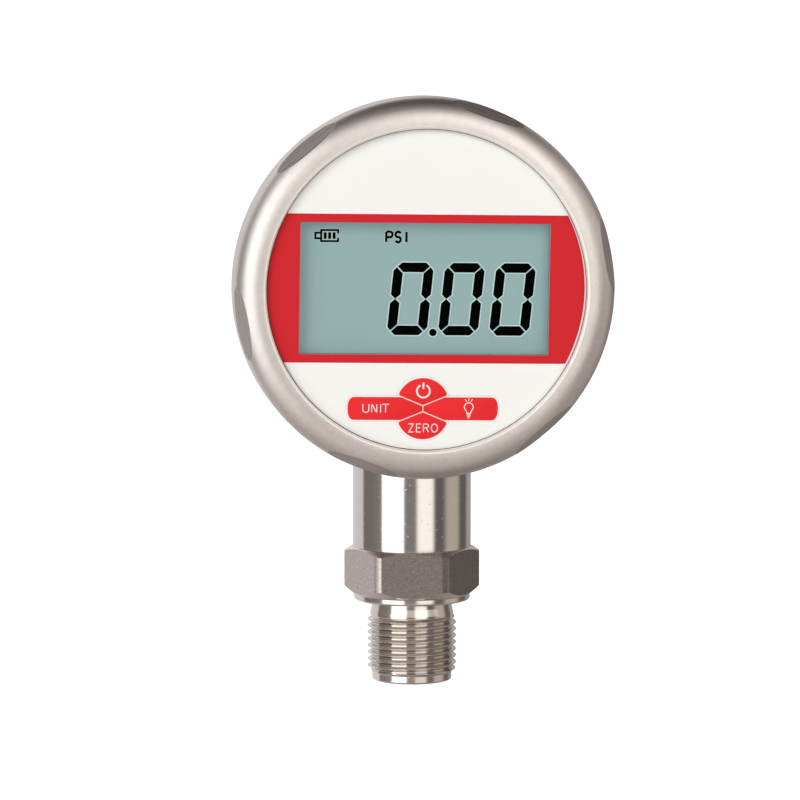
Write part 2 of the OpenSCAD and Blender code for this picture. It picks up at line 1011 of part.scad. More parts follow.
// Plates against the tray's end walls, each with a button that meets a nub
module battery_contacts() {
    color("silver")
        for (row = sides)
            in_row(row)
                rotate([0, 90 * row, 0])
                    translate([0, 0, cell_len / 2]) {
                        cylinder(h = end_room, d = nub_d);
                        translate([0, 0, end_room - contact_t / 2])
                            cube([contact_w, contact_w, contact_t], center = true);
                    }
}

// Points of a spring coil along x, and a tube swept round them
function coil_ring(i) = [
    for (k = [0:spring_sides - 1])
        let (a = 360 * i / spring_steps, b = 360 * k / spring_sides,
             r = spring_r + spring_wire_r * cos(b))
            [spring_len * i / spring_rows + spring_wire_r * sin(b), r * cos(a), r * sin(a)]
];

module spring_coil() {
    n = spring_sides;
    points = [for (i = [0:spring_rows]) each coil_ring(i)];
    faces = concat(
        [[for (k = [0:n - 1]) k]],
        [for (i = [0:spring_rows - 1], k = [0:n - 1])
            [i * n + k, (i + 1) * n + k, (i + 1) * n + (k + 1) % n, i * n + (k + 1) % n]],
        [[for (k = [n - 1:-1:0]) spring_rows * n + k]]
    );
    polyhedron(points, faces);
}

module battery_springs() {
    color("silver")
        for (row = sides)
            in_row(row)
                rotate([0, 0, 90 + 90 * row])
                    translate([cell_len / 2 + spring_wire_r, 0, 0])
                        spring_coil();
}

// Two short leads from the tray to their socket on the board
module battery_leads() {
    color("crimson")
        in_case()
            for (s = sides)
                translate([lead_x + s * lead_pitch / 2, tray_y])
                    slab(tray_front_f, socket_f)
                        circle(d = lead_d, $fn = 24);
}

// Stem
module neck_tube() {
    color(steel)
        difference() {
            union() {
                difference() {
                    translate([0, 0, neck_z])
                        cylinder(h = case_floor_z + neck_r / 3 - neck_z, r = neck_r);
                    in_case()
                        slab(-case_r, case_r)
                            circle(case_r + seat);
                }
                translate([0, 0, neck_bore_top_z])
                    cylinder(h = stub_top_z - neck_bore_top_z, r = stub_r);
            }
            translate([0, 0, neck_z - over])
                cylinder(h = neck_bore_top_z - neck_z + over, r = neck_bore_r);
            translate([0, 0, neck_z])
                cylinder(h = stub_top_z - neck_z + over, r = duct_r);
        }
}

// Washer whose lower face follows the inside of the case
module saddle_washer() {
    color(inner_steel)
        difference() {
            intersection() {
                translate([0, 0, case_floor_z])
                    cylinder(h = washer_top_z - case_floor_z, r = washer_r);
                in_case()
                    slab(-case_r, case_r)
                        circle(case_in_r - fit);
            }
            translate([0, 0, case_floor_z - over])
                cylinder(h = washer_top_z - case_floor_z + 2 * over, r = stub_r + fit);
            translate([0, 0, case_floor_z - over])
                cylinder(h = neck_seal_z + neck_seal_r + neck_seal_gap - case_floor_z + over,
                         r = neck_seal_ring_r + neck_seal_r + neck_seal_gap);
        }
}

module neck_seal() {
    color(rubber)
        translate([0, 0, neck_seal_z])
            torus(neck_seal_ring_r, neck_seal_r);
}

module case_nut() {
    color(inner_steel)
        translate([0, 0, washer_top_z])
            difference() {
                cylinder(h = nut_h, d = nut_af / cos(30), $fn = 6);
                translate([0, 0, -over])
                    cylinder(h = nut_h + 2 * over, r = stub_r + fit);
            }
}

// Connection
ridge_rows = [for (i = [0:thread_turns - 1]) thread_z + i * thread_pitch];
connector_profile = concat(
    [[0, 0], [tip_r - edge, 0], [tip_r, edge], [tip_r, tip_len], [root_r, tip_len]],
    [for (z = ridge_rows) each [
        [root_r, z], [thread_r, z + flank], [thread_r, z + flank + crest_flat], [root_r, z + 2 * flank + crest_flat]
    ]],
    [
        [relief_r, thread_end_z + 2 * edge], [relief_r, collar_z],
        [seal_collar_r - edge, collar_z], [seal_collar_r, collar_z + edge],
        [seal_collar_r, hex_z], [neck_r - edge, hex_z], [neck_r - edge, neck_z],
        [spigot_r, neck_z], [spigot_r, spigot_top_z], [0, spigot_top_z]
    ]
);

module process_connector() {
    color(dark_steel)
        difference() {
            union() {
                rotate_extrude()
                    polygon(connector_profile);
                intersection() {
                    translate([0, 0, hex_z])
                        rotate([0, 0, hex_turn])
                            cylinder(h = hex_h, d = hex_af / cos(30), $fn = 6);
                    rotate_extrude()
                        polygon([
                            [0, hex_z], [seal_collar_r, hex_z],
                            [hex_corner_r, hex_z + hex_low_chamfer],
                            [hex_corner_r, neck_z - hex_top_chamfer],
                            [neck_r, neck_z], [0, neck_z]
                        ]);
                }
            }
            translate([0, 0, -over])
                cylinder(h = port_len + 2 * over, d = port_d);
            translate([0, 0, port_len])
                cylinder(h = spigot_top_z, r = pocket_r);
        }
}

// Sensor capsule with a dished underside and a groove for its seal
module pressure_sensor() {
    half_groove = capsule_seal_r + fit;
    color(inner_steel)
        rotate_extrude()
            polygon([
                [0, port_len + capsule_dish], [sensor_r - capsule_edge, port_len + capsule_dish],
                [sensor_r - capsule_edge, port_len], [sensor_r, port_len],
                [sensor_r, groove_z - half_groove], [groove_r, groove_z - half_groove],
                [groove_r, groove_z + half_groove], [sensor_r, groove_z + half_groove],
                [sensor_r, ring_z], [0, ring_z]
            ]);
}

module sensor_seal() {
    color(rubber)
        translate([0, 0, groove_z])
            torus(sensor_r - capsule_seal_r, capsule_seal_r);
}

module sensor_ring() {
    color(inner_steel)
        translate([0, 0, ring_z])
            difference() {
                cylinder(h = ring_h, r = sensor_r);
                translate([0, 0, -over])
                    cylinder(h = ring_h + 2 * over, r = sensor_r - ring_width);
                translate([-neck_r, -ring_slot / 2, ring_h - ring_slot / 2])
                    cube([2 * neck_r, ring_slot, ring_h]);
            }
}

module sensor_pins() {
    color("gold")
        for (i = [0:pin_count - 1])
            rotate([0, 0, 360 * i / pin_count])
                translate([pin_ring_r, 0, ring_z])
                    cylinder(h = sensor_board_z + pin_r - ring_z, r = pin_r, $fn = 24);
}

module sensor_board() {
    color(board_green)
        translate([0, 0, spigot_top_z])
            difference() {
                cylinder(h = sensor_board_t, r = spigot_r - seat);
                for (i = [0:pin_count - 1])
                    rotate([0, 0, 360 * i / pin_count])
                        translate([pin_ring_r, 0, -over])
                            cylinder(h = sensor_board_t + 2 * over, r = pin_r + fit, $fn = 24);
            }
}

module sensor_plug() {
    color("ivory")
        translate([0, 0, sensor_board_z + plug_h / 2])
            cube([2 * cable_d, cable_d + 2 * plug_wall, plug_h], center = true);
}

// Cable up the neck, round a quarter bend and forward to its socket
module sensor_cable() {
    start_z = sensor_board_z + plug_h;
    color("#3a3a3d") {
        translate([0, 0, start_z])
            cylinder(h = cable_z - cable_bend_r - start_z, r = cable_r, $fn = 24);
        translate([0, -cable_bend_r, cable_z - cable_bend_r])
            rotate([90, 0, 90])
                rotate_extrude(angle = 90)
                    translate([cable_bend_r, 0])
                        circle(cable_r, $fn = 24);
        translate([0, -cable_bend_r, cable_z])
            rotate([90, 0, 0])
                cylinder(h = socket_f - cable_bend_r, r = cable_r, $fn = 24);
    }
}

bezel_ring();
bezel_seal();
panel_gasket();
face_panel();
display_window();
power_key();
zero_key();
units_key();
light_key();
lcd_glass();
lcd_segments();
lcd_frame();
backlight_panel();
contact_strips();
display_board();
key_switches();
microcontroller();
board_parts();
board_sockets();
board_screws();
case_shell();
rear_gasket();
rear_cover();
cover_screws();
vent_plug();
battery_tray();
upper_cell();
lower_cell();
battery_contacts();
battery_springs();
battery_leads();
neck_tube();
saddle_washer();
neck_seal();
case_nut();
process_connector();
pressure_sensor();
sensor_seal();
sensor_ring();
sensor_pins();
sensor_board();
sensor_plug();
sensor_cable();
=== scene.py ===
"""Digital pressure gauge with a lower threaded connection: every visible surface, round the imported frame.

Lengths are in millimetres until a mesh is made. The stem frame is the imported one. The face frame has x to
the right, y up from the face's centre, and f towards the viewer from the stem's axis. The art frame is
the printed face's own, shifted and turned a little in the ring."""

import math

import bmesh
import bpy
import numpy as np
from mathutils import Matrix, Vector
from mathutils.geometry import tessellate_polygon


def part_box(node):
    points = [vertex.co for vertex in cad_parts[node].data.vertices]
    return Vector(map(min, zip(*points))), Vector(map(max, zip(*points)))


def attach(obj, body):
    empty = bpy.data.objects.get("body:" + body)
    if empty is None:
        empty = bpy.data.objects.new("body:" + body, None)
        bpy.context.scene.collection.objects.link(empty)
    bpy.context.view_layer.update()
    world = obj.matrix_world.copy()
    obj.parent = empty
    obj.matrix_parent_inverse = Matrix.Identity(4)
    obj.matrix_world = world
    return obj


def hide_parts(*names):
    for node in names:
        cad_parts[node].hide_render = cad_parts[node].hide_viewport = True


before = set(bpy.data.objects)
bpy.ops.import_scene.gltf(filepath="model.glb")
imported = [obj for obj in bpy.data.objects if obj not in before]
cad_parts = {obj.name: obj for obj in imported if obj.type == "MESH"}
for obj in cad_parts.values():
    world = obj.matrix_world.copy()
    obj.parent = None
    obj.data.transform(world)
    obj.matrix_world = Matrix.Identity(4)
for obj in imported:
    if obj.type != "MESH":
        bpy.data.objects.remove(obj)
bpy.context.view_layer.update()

# A millimetre and the welding distance, both in metres, and a full turn
MM = 0.001
WELD = 2e-7
TAU = 2 * math.pi


def reach(node):
    """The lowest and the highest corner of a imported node, in mm."""
    low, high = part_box(node)
    return np.array(low) / MM, np.array(high) / MM


def half_width(node):
    """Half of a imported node's width, in mm."""
    low, high = reach(node)
    return (high[0] - low[0]) / 2


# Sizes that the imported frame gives
RING_R, PANEL_R = half_width("bezel_ring"), half_width("face_panel")
SHOULDER_R, NECK_R = half_width("case_shell"), half_width("neck_tube")
ring_low, ring_high = reach("bezel_ring")
FACE_Z = (ring_low[2] + ring_high[2]) / 2
FRONT_F, RING_BACK_F = -ring_low[1], -ring_high[1]
PANEL_F, BOARD_F = (-corner[1] for corner in reach("face_panel"))
PANEL_BACK_F, GLASS_F = (-reach(node)[0][1] for node in ("display_window", "lcd_glass"))
NECK_Z, STUB_TOP_Z = (corner[2] for corner in reach("neck_tube"))
SPIGOT_TOP_Z = reach("process_connector")[1][2]

# Bezel: width and height of its rounded shoulder, radii of lip and back edge, and the wrench flats
CROWN_W, CROWN_H, LIP_R, BACK_EDGE_R = 6.0, 4.6, 0.7, 0.5
FLAT_COUNT, FLAT_LEN = 6, 16.5
FLAT_TILT, FLAT_TURN = math.radians(28), math.radians(10)

# Play of a seat and of a close fit, and the radii of lip, collar and case
SEAT, FIT = 0.3, 0.05
FACE_R = RING_R - CROWN_W - LIP_R
COLLAR_R = RING_R - 2.9
CASE_R = SHOULDER_R - 2.7

# Gasket under the bezel's lip: its thickness, its edge's reach, height and slope, and its shift. The edge
# reaches in past the lip and sits off the middle, so that it draws a thin dark line there: painted shadow
GASKET_T, GASKET_EDGE, GASKET_EDGE_H, GASKET_SLOPE = 0.5, 0.13, 0.25, 0.2
GASKET_SHADOW_SHIFT = (0.1, 0, -0.04)
LIP_F = PANEL_F + GASKET_T

# Printed face: its turn and shift in the ring, the display opening, the band, the posts behind, and the
# openings' narrow edges, which widen them a little at the front
ART_TURN = math.radians(-1)
ART_X, ART_Y = -0.4, 0.2
WINDOW_W, WINDOW_H, WINDOW_CORNER = 54.6, 28.6, 0.25
BAND_HALF, BAND_R = 16.25, 35.15
POST_AT, POST_R, POST_BORE_R = 22.0, 2.8, 1.1
EDGE_DROP, WINDOW_EDGE, KEYS_EDGE = 0.06, 0.08, 0.02

# Keys, about the group's centre. The lines between them start at the waist's height and rise by the slope
KEYS_DROP = 26.2
BAR_W, BAR_H, BAR_BULGE, BAR_POWER = 33.0, 5.0, 1.4, 0.88
DOME_H, DOME_R = 13.4, 5.77
DOME_MID = DOME_H / 2 - DOME_R
DOME_CUT_DEG, DOME_CUT, BASE_CUT = 5, 0.06, 0.05
WAIST, SLOPE = 0.66, 0.41
KEY_LINE, KEY_SPLIT, KEY_RIM, KEY_FILL, KEY_PLAY = 0.25, 0.012, 0.3, 0.05, 0.08
KEY_FLANGE, KEY_FLANGE_T = 0.6, 0.6
KEY_TOP_F = PANEL_F + 0.15
KEY_SOFT, KEY_SOFT_DROPS = 0.06, (0.05, 0.015, 0)
FLANGE_F = PANEL_BACK_F - SEAT
FLANGE_BACK_F = FLANGE_F - KEY_FLANGE_T
PLUNGER_R = 1.2
DOME_PLUNGER, BAR_PLUNGER = DOME_H * 0.33, BAR_W * 0.32

# Legends on the keys: each letter has its left edge and its width
LEGEND_LINE, LEGEND_RISE, LEGEND_SINK = 0.2, 0.012, 0.04
UNIT = (("U", -13.17, 1.32), ("N", -11.24, 1.13), ("I", -9.26, 0), ("T", -8.92, 1.5))
ZERO = (("Z", -3.08, 1.15), ("E", -1.33, 0.98), ("R", 0.2, 1.16), ("O", 1.95, 1.35))
UNIT_Y, UNIT_H, ZERO_Y, ZERO_H = 0.04, 1.8, -4.23, 1.78

# Display: its digits, the point after the first, the battery sign and the unit
DIGIT_W, DIGIT_H, DIGIT_PITCH = 8.8, 15.9, 11.25
DIGITS_X, DIGITS_Y = 8.47, -2.46
DIGIT_SLANT = 0.093
POINT_LEFT, POINT_UP, POINT_R = 0.55, 0.62, 0.84
BATTERY_BOX = (-22.55, -18.85, 10.04, 12.44)
BATTERY_LINE, BATTERY_GAP, BATTERY_NUB, BATTERY_NUB_HALF = 0.47, 0.42, 1.28, 0.6
CHARGE_X, CHARGE_PITCH, CHARGE_INSET, CHARGE_LINE = 0.87, 0.98, 0.46, 0.66
PSI = (("P", -8.3, 1.35), ("S", -6.27, 1.12), ("I", -3.88, 0))
PSI_Y, PSI_H, PSI_LINE = 11.05, 2.3, 0.56
DIGIT_GLOW, SIGN_GLOW, GLOW_SINK, GLOW_RISE, MARK_RISE = 0.23, 0.07, 0.01, 0.02, 0.05

# Connection
THREAD_R, THREAD_PITCH, THREAD_HALF_V = 9.95, 1.5, math.radians(30)
THREAD_DEPTH = THREAD_PITCH * math.cos(THREAD_HALF_V) * 17 / 24
ROOT_R = THREAD_R - THREAD_DEPTH
TIP_R, TIP_LEN = 8.9, 1.9
RELIEF_R, RELIEF_END_R = 8.8, 8.95
THREAD_END_Z, COLLAR_Z = 13.9, 18.2
THREAD_PHASE, RUN_OUT_Z, FLARE, FLARE_LEN = -0.32, 14.8, 0.5, 0.4
FADE_IN, FADE_OUT = 0.7, 0.8
RELIEF_END_Z = COLLAR_Z - 1.4
PORT_R, PORT_LEN, PORT_BEVEL, PORT_MOUTH, POCKET_R = 2.5, 21.0, 0.3, 1.5, 9.55
SEAL_COLLAR_R, EDGE_BEVEL = 13.0, 0.35
HEX_Z, HEX_HALF, HEX_CORNER_R = 19.5, 13.5, 15.1
HEX_LOW, HEX_TOP = 1.8, 1.1
HEX_TURN = math.radians(-6.7)
NECK_BORE_R, NECK_BORE_TOP_Z = NECK_R - 2, 45.2
SPIGOT_R = NECK_BORE_R - FIT
STUB_R, DUCT_R = 8.0, 5.0
EDGE_ZONE = 1.0

# Camera: a little to the left of the face and above it. Its distance and aim are in metres
CAMERA_TURN, CAMERA_RISE = math.radians(6.7), math.radians(6.4)
CAMERA_FAR, CAMERA_LENS, CAMERA_SENSOR = 1.2, 242.1, 36.0
CAMERA_NEAR_CLIP, CAMERA_FAR_CLIP = 0.05, 60.0
CAMERA_AIM = Vector((-0.00265, 0, 0.0629))

# Light: the wall's tone, and soft boxes: (left, right, softness), (low, high, softness) and colour
STUDIO_STRENGTH, WALL_TONE = 0.855, (1.0, 0.88, 0.82)
LIGHT_BOXES = (
    ((-60.3, -15.5, 2.2), (-24, 36, 9), (1.95, 1.95, 1.92)),
    ((10, 43, 5), (-17, 36, 9), (1.32, 1.28, 1.23)),
    ((-20, 52, 10), (9, 42, 9), (0.42, 0.41, 0.375)),
    ((24, 76, 9), (4, 38, 8), (0.46, 0.44, 0.4)),
    ((-240, -110, 2.5), (-30, 40, 12), (0.68, 0.66, 0.68)),
    ((69, 105, 8), (-24, 26, 9), (0.5, 0.43, 0.36)),
    ((133, 240, 4), (-14, 34, 10), (0.33, 0.31, 0.33)),
)
LAMP_AT, LAMP_SIZE, LAMP_POWER, LAMP_TONE = (-0.75, -0.95, 0.85), 0.55, 3.7, (0.94, 1.0, 1.0)
FLOOR_HALF, FLOOR_Z, FLOOR_GLOW = 12.0, -0.1, 0.8


# Places
def at_face(x, y, f):
    """Points of the face frame in the stem frame: x stays, y starts at the face's centre, f is -Y."""
    x, y, f = np.broadcast_arrays(x, y, f)
    return np.stack([x, -f, FACE_Z + y], -1).astype(float)


def art_to_face(loop):
    """Flat points of the printed art in the face frame: shifted, then turned by a small angle."""
    x, y = loop[:, 0] + ART_X, loop[:, 1] + ART_Y
    c, s = math.cos(ART_TURN), math.sin(ART_TURN)
    return np.stack([c * x - s * y, s * x + c * y], -1)


def on_stem(radius, angle, height):
    """Points at a radius, an angle and a height, round the stem's axis."""
    radius, angle, height = np.broadcast_arrays(radius, angle, height)
    return np.stack([radius * np.cos(angle), radius * np.sin(angle), height], -1)


def arc(x, y, across, up, start, stop, steps=12):
    """Points of an ellipse's arc about (x, y), from one angle to another in degrees."""
    t = np.radians(np.linspace(start, stop, steps + 1))
    return np.stack([x + across * np.cos(t), y + up * np.sin(t)], -1)


def circle(x, y, radius, points=48):
    """A closed circle's points, the first not repeated."""
    return arc(x, y, radius, radius, 0, 360 - 360 / points, points - 1)


def softened(profile, radius=0.12, steps=4):
    """The profile with its corners rounded: a parabola that leaves each leg one radius before the corner,
    or just less than half the leg if that is shorter."""
    p = np.asarray(profile, float)
    t = np.linspace(0, 1, steps + 1)[:, None]
    parts = [p[:1]]
    for before, corner, after in zip(p[:-2], p[1:-1], p[2:]):
        ends = []
        for other in (before, after):
            leg = other - corner
            length = np.hypot(*leg)
            ends.append(corner + leg / length * min(radius, 0.45 * length))
        parts.append((1 - t) ** 2 * ends[0] + 2 * t * (1 - t) * corner + t**2 * ends[1])
    return np.concatenate(parts + [p[-1:]])


def whole_turn(columns):
    """Angles of a full turn whose last is the first again, so that a surface's seam closes."""
    return np.linspace(0, TAU, columns + 1) % TAU


def turned(profile, axis="stem", columns=192):
    """A profile of (radius, height) turned round the stem's axis, or round the face's with f as height."""
    radius, height = np.asarray(profile, float).T[:, :, None]
    angle = whole_turn(columns)
    if axis == "face":
        return at_face(radius * np.cos(angle), radius * np.sin(angle), height)
    return on_stem(radius, angle, height)


def wall(loops, heights):
    """Side of a plate: the outline of each row at its own height along f, closed on itself."""
    rows = [np.vstack([loop, loop[:1]]) for loop in loops]
    return np.stack([at_face(row[:, 0], row[:, 1], f) for row, f in zip(rows, heights)])


def cap(loops, f):
    """A flat face inside its first outline and outside the others, as points and triangles."""
    points = np.concatenate(loops)
    faces = tessellate_polygon([[Vector((x, y, 0)) for x, y in loop] for loop in loops])
    return at_face(points[:, 0], points[:, 1], f), np.array(faces)


def tile(loop, back_f, top_f):
    """A thin flat shape with a thickness: its side and its two faces."""
    return [wall([loop, loop], [back_f, top_f]), cap([loop], back_f), cap([loop], top_f)]


def rod(x, y, radius, back_f, top_f, bore=0):
    """A round post along f, with a bore if it has one."""
    outer = circle(x, y, radius)
    if not bore:
        return tile(outer, back_f, top_f)
    inner = circle(x, y, bore)
    return [wall([outer, outer, inner, inner, outer], [back_f, top_f, top_f, back_f, back_f])]


def grown(loop, width, least=0.5):
    """An outline moved outwards: each point goes along the mitre of its two sides, by the width over the
    mitre's cosine, or by less at a sharp corner."""
    run = np.roll(loop, -1, 0) - loop
    run /= np.hypot(*run.T)[:, None]
    area = np.sum(loop[:, 0] * np.roll(loop[:, 1], -1) - loop[:, 1] * np.roll(loop[:, 0], -1))
    normal = np.stack([run[:, 1], -run[:, 0]], -1) * np.sign(area)
    mitre = normal + np.roll(normal, 1, 0)
    length = np.sum(mitre * normal, 1)[:, None]
    return loop + width * mitre / np.maximum(length, least)


def stroke(path, width, longest=1.5):
    """Outline of a line of even width along a path: each point goes half the width to both sides, along a
    mitre that grows to one and a half times that at most."""
    p = np.asarray(path, float)
    run = np.diff(p, axis=0)
    run /= np.hypot(*run.T)[:, None]
    closed = np.allclose(p[0], p[-1])
    before = np.vstack([run[-1:] if closed else run[:1], run])
    after = np.vstack([run, run[:1] if closed else run[-1:]])
    along = before + after
    along /= np.maximum(np.hypot(*along.T), 1e-6)[:, None]
    stretch = 1 / np.maximum(np.sum(along * after, 1), 1 / longest)[:, None]
    side = np.stack([-along[:, 1], along[:, 0]], -1) * stretch * width / 2
    return np.concatenate([p + side, (p - side)[::-1]])


# Meshes
def piece(name, body, parts, stands_for=(), sharp=32):
    """One object from (material, surfaces) pairs. A surface is a grid of points, rows by columns, or
    points with their triangles."""
    coords, corners, totals, tags, count = [], [], [], [], 0
    for tag, (_, surfaces) in enumerate(parts):
        for surface in surfaces:
            if isinstance(surface, tuple):
                points, faces = surface
            else:
                index = np.arange(surface.shape[0] * surface.shape[1]).reshape(surface.shape[:2])
                faces = np.stack([index[:-1, :-1], index[:-1, 1:], index[1:, 1:], index[1:, :-1]], -1)
                points, faces = surface.reshape(-1, 3), faces.reshape(-1, 4)
            coords.append(points)
            corners.append((faces + count).ravel())
            totals.append(np.full(len(faces), faces.shape[1]))
            tags.append(np.full(len(faces), tag))
            count += len(points)
    totals, tags, corners = np.concatenate(totals), np.concatenate(tags), np.concatenate(corners)
    mesh = bpy.data.meshes.new(name)
    mesh.vertices.add(count)
    mesh.vertices.foreach_set("co", (np.concatenate(coords) * MM).astype(np.float32).ravel())
    mesh.loops.add(len(corners))
    mesh.loops.foreach_set("vertex_index", corners.astype(np.int32))
    mesh.polygons.add(len(totals))
    starts = np.cumsum(totals) - totals
    for field, array in (("loop_start", starts), ("loop_total", totals), ("material_index", tags)):
        mesh.polygons.foreach_set(field, array.astype(np.int32))
    for material, _ in parts:
        mesh.materials.append(material)
    mesh.update(calc_edges=True)
    finished(name, mesh, body, stands_for, sharp)


def read(items, name, kind=np.int32):
    """One value of every loop, edge or face, as an array."""
    array = np.empty(len(items), kind)
    items.foreach_get(name, array)
    return array


def placed(name, data):
    """A new object in the scene, at the origin."""
    made = bpy.data.objects.new(name, data)
    bpy.context.scene.collection.objects.link(made)
    return made


def finished(name, mesh, body, stands_for, sharp):
    """Welds a mesh, turns its faces outwards, smooths it and puts it on its body. An edge stays sharp past
    the angle given, and where two materials meet."""
    skin = bmesh.new()
    skin.from_mesh(mesh)
    bmesh.ops.remove_doubles(skin, verts=skin.verts, dist=WELD)
    bmesh.ops.recalc_face_normals(skin, faces=skin.faces)
    skin.to_mesh(mesh)
    skin.free()
    mesh.shade_smooth()
    mesh.set_sharp_from_angle(angle=math.radians(sharp))
    tags = np.repeat(read(mesh.polygons, "material_index"), read(mesh.polygons, "loop_total"))
    low, high = np.full(len(mesh.edges), len(mesh.materials)), np.full(len(mesh.edges), -1)
    np.minimum.at(low, read(mesh.loops, "edge_index"), tags)
    np.maximum.at(high, read(mesh.loops, "edge_index"), tags)
    mesh.edges.foreach_set("use_edge_sharp", read(mesh.edges, "use_edge_sharp", bool) | (low != high))
    made = placed(name, mesh)
    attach(made, body)
    if stands_for:
        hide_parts(*stands_for)


def skin_of(node, name, material, sharp=28):
    """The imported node's own surface, smoothed. Its stored normals, which belong to the loose triangles,
    are taken off first."""
    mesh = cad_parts[node].data.copy()
    mesh.name = name
    mesh.materials.clear()
    mesh.materials.append(material)
    mesh.polygons.foreach_set("material_index", np.zeros(len(mesh.polygons), np.int32))
    mesh.attributes.remove(mesh.attributes["custom_normal"])
    finished(name, mesh, "case", [node], sharp)


# Shader maths
class Signal:
    """A shader socket with Python's operators, each of which adds one Math node."""

    def __init__(self, nodes, socket):
        self.nodes, self.socket = nodes, socket

    def __add__(self, other):
        return self.nodes.math("ADD", self, other)

    def __sub__(self, other):
        return self.nodes.math("SUBTRACT", self, other)

    def __rsub__(self, other):
        return self.nodes.math("SUBTRACT", other, self)

    def __mul__(self, other):
        return self.nodes.math("MULTIPLY", self, other)

    def __truediv__(self, other):
        return self.nodes.math("DIVIDE", self, other)

    __radd__, __rmul__ = __add__, __mul__


class Nodes:
    """The node tree of a material or of the world. node() is the one way to add a node."""

    def __init__(self, owner):
        owner.use_nodes = True
        self.tree = owner.node_tree
        self.tree.nodes.clear()

    def node(self, kind, settings=None, values=None, out=0):
        made = self.tree.nodes.new("ShaderNode" + kind)
        for key, value in (settings or {}).items():
            setattr(made, key, value)
        for key, value in (values or {}).items():
            if isinstance(value, Signal):
                self.tree.links.new(value.socket, made.inputs[key])
            else:
                made.inputs[key].default_value = value
        return Signal(self, made.outputs[out]) if len(made.outputs) else made

    def math(self, operation, *values):
        return self.node("Math", {"operation": operation}, dict(enumerate(values)))

    def added(self, first, second):
        return self.node("VectorMath", {"operation": "ADD"}, {0: first, 1: second})

    def scaled(self, colour, factor):
        return self.node("VectorMath", {"operation": "SCALE"}, {0: colour, "Scale": factor})

    def mix(self, factor, first, second):
        return self.node("Mix", {"data_type": "RGBA"}, {0: factor, 6: first, 7: second}, 2)

    def split(self, vector):
        return [self.node("SeparateXYZ", None, {0: vector}, out=i) for i in range(3)]

    def joined(self, x, y, z):
        return self.node("CombineXYZ", None, {0: x, 1: y, 2: z})

    def place(self):
        """Place on the object, in mm."""
        return self.scaled(self.node("TexCoord", out="Object"), 1 / MM)

    def noise(self, where, scale, detail=2.0, rough=0.5):
        values = {"Vector": where, "Scale": scale, "Detail": detail, "Roughness": rough}
        return self.node("TexNoise", None, values, "Fac")

    def step(self, value, start, stop, low=0.0, high=1.0):
        """Rises smoothly from low to high as the value goes from start to stop."""
        values = {"Value": value, "From Min": start, "From Max": stop, "To Min": low, "To Max": high}
        return self.node("MapRange", {"interpolation_type": "SMOOTHSTEP"}, values)

    def inside(self, value, low, high, soft):
        """1 between two limits, 0 outside, with soft edges."""
        rising = self.step(value, low - soft, low + soft)
        return rising * self.step(value, high - soft, high + soft, 1.0, 0.0)

    def bumped(self, height, depth):
        """A normal for a relief of this depth in mm."""
        values = {"Strength": 1.0, "Distance": depth * MM, "Height": height}
        return self.node("Bump", None, values, "Normal")

    def straight(self):
        """1 where the eye looks, straight or through clear pieces."""
        rays = [self.node("LightPath", out=f"Is {ray} Ray") for ray in ("Camera", "Transmission")]
        return self.math("MAXIMUM", *rays)

    def seen(self):
        """1 where the eye looks, also by way of metal, and 0 for the light that spreads."""
        return self.math("MAXIMUM", self.straight(), self.node("LightPath", out="Is Glossy Ray"))

    def ending(self, shader, kind="OutputMaterial"):
        self.node(kind, None, {"Surface": shader})


def finish(name, paint, **fixed):
    """A material: paint(n) gives the sockets that vary over the surface, fixed the others."""
    material = bpy.data.materials.new(name)
    n = Nodes(material)
    others = {key.replace("_", " "): value for key, value in fixed.items()}
    n.ending(n.node("BsdfPrincipled", None, {**others, **paint(n)}))
    return material


def rgb(*colour, less=0):
    """A colour, less a share of itself."""
    return (*(c * (1 - less) for c in colour), 1.0)


def round_axis(n, axis):
    """Turned work: the angle round the axis in two parts, and the way across the tool lines, in mm."""
    least, lean = 0.01, 0.9
    x, y, z = n.split(n.place())
    other, along = (z - FACE_Z, y) if axis == "face" else (y, z)
    radius = n.math("SQRT", x * x + other * other)
    safe = n.math("MAXIMUM", radius, least)
    return x / safe, other / safe, radius * lean + along


def turned_steel(name, axis, tone, rough, lines=5.0, grain=0.0018, stain=0.06, mottle=0.04, specks=0.0,
                 metal=1.0):
    """Turned steel: fine tool lines, a noise drawn out along the turn; cloudy stains; a satin mottle; and
    small specks, the few high places of two noises."""
    sweep, cloud_scale, satin_scale = 2.5, 0.09, 0.75
    pit_scale, pit_from, pit_to = 1.9, 0.78, 0.83
    nick_scale, nick_from, nick_to, nick_place = 1.5, 0.78, 0.82, (31.0, 7.0, 19.0)

    def paint(n):
        across_x, across_y, way = round_axis(n, axis)
        where = n.place()
        groove = n.noise(n.joined(across_x * sweep, across_y * sweep, way * lines), 1.0, 3.0, 0.6)
        cloud = n.noise(where, cloud_scale, 3.0, 0.55)
        satin = n.noise(where, satin_scale, 4.0, 0.7)
        pits = n.step(n.noise(where, pit_scale, 0.0), pit_from, pit_to)
        moved = n.added(where, nick_place)
        nicks = n.step(n.noise(moved, nick_scale, 0.0), nick_from, nick_to)
        tint = n.mix(cloud, rgb(*tone), rgb(*tone, less=stain))
        shade = 0.955 + groove * 0.09 - pits * specks * 0.15 + (satin - 0.5) * mottle
        worn = nicks * specks * 0.18 + pits * specks * 0.25
        return {
            "Base Color": n.scaled(tint, shade),
            "Roughness": rough * (0.8 + groove * 0.28 + cloud * 0.14) + worn,
            "Normal": n.bumped(groove - (pits + nicks) * specks * 1.5, grain),
        }

    return finish(name, paint, Metallic=metal)


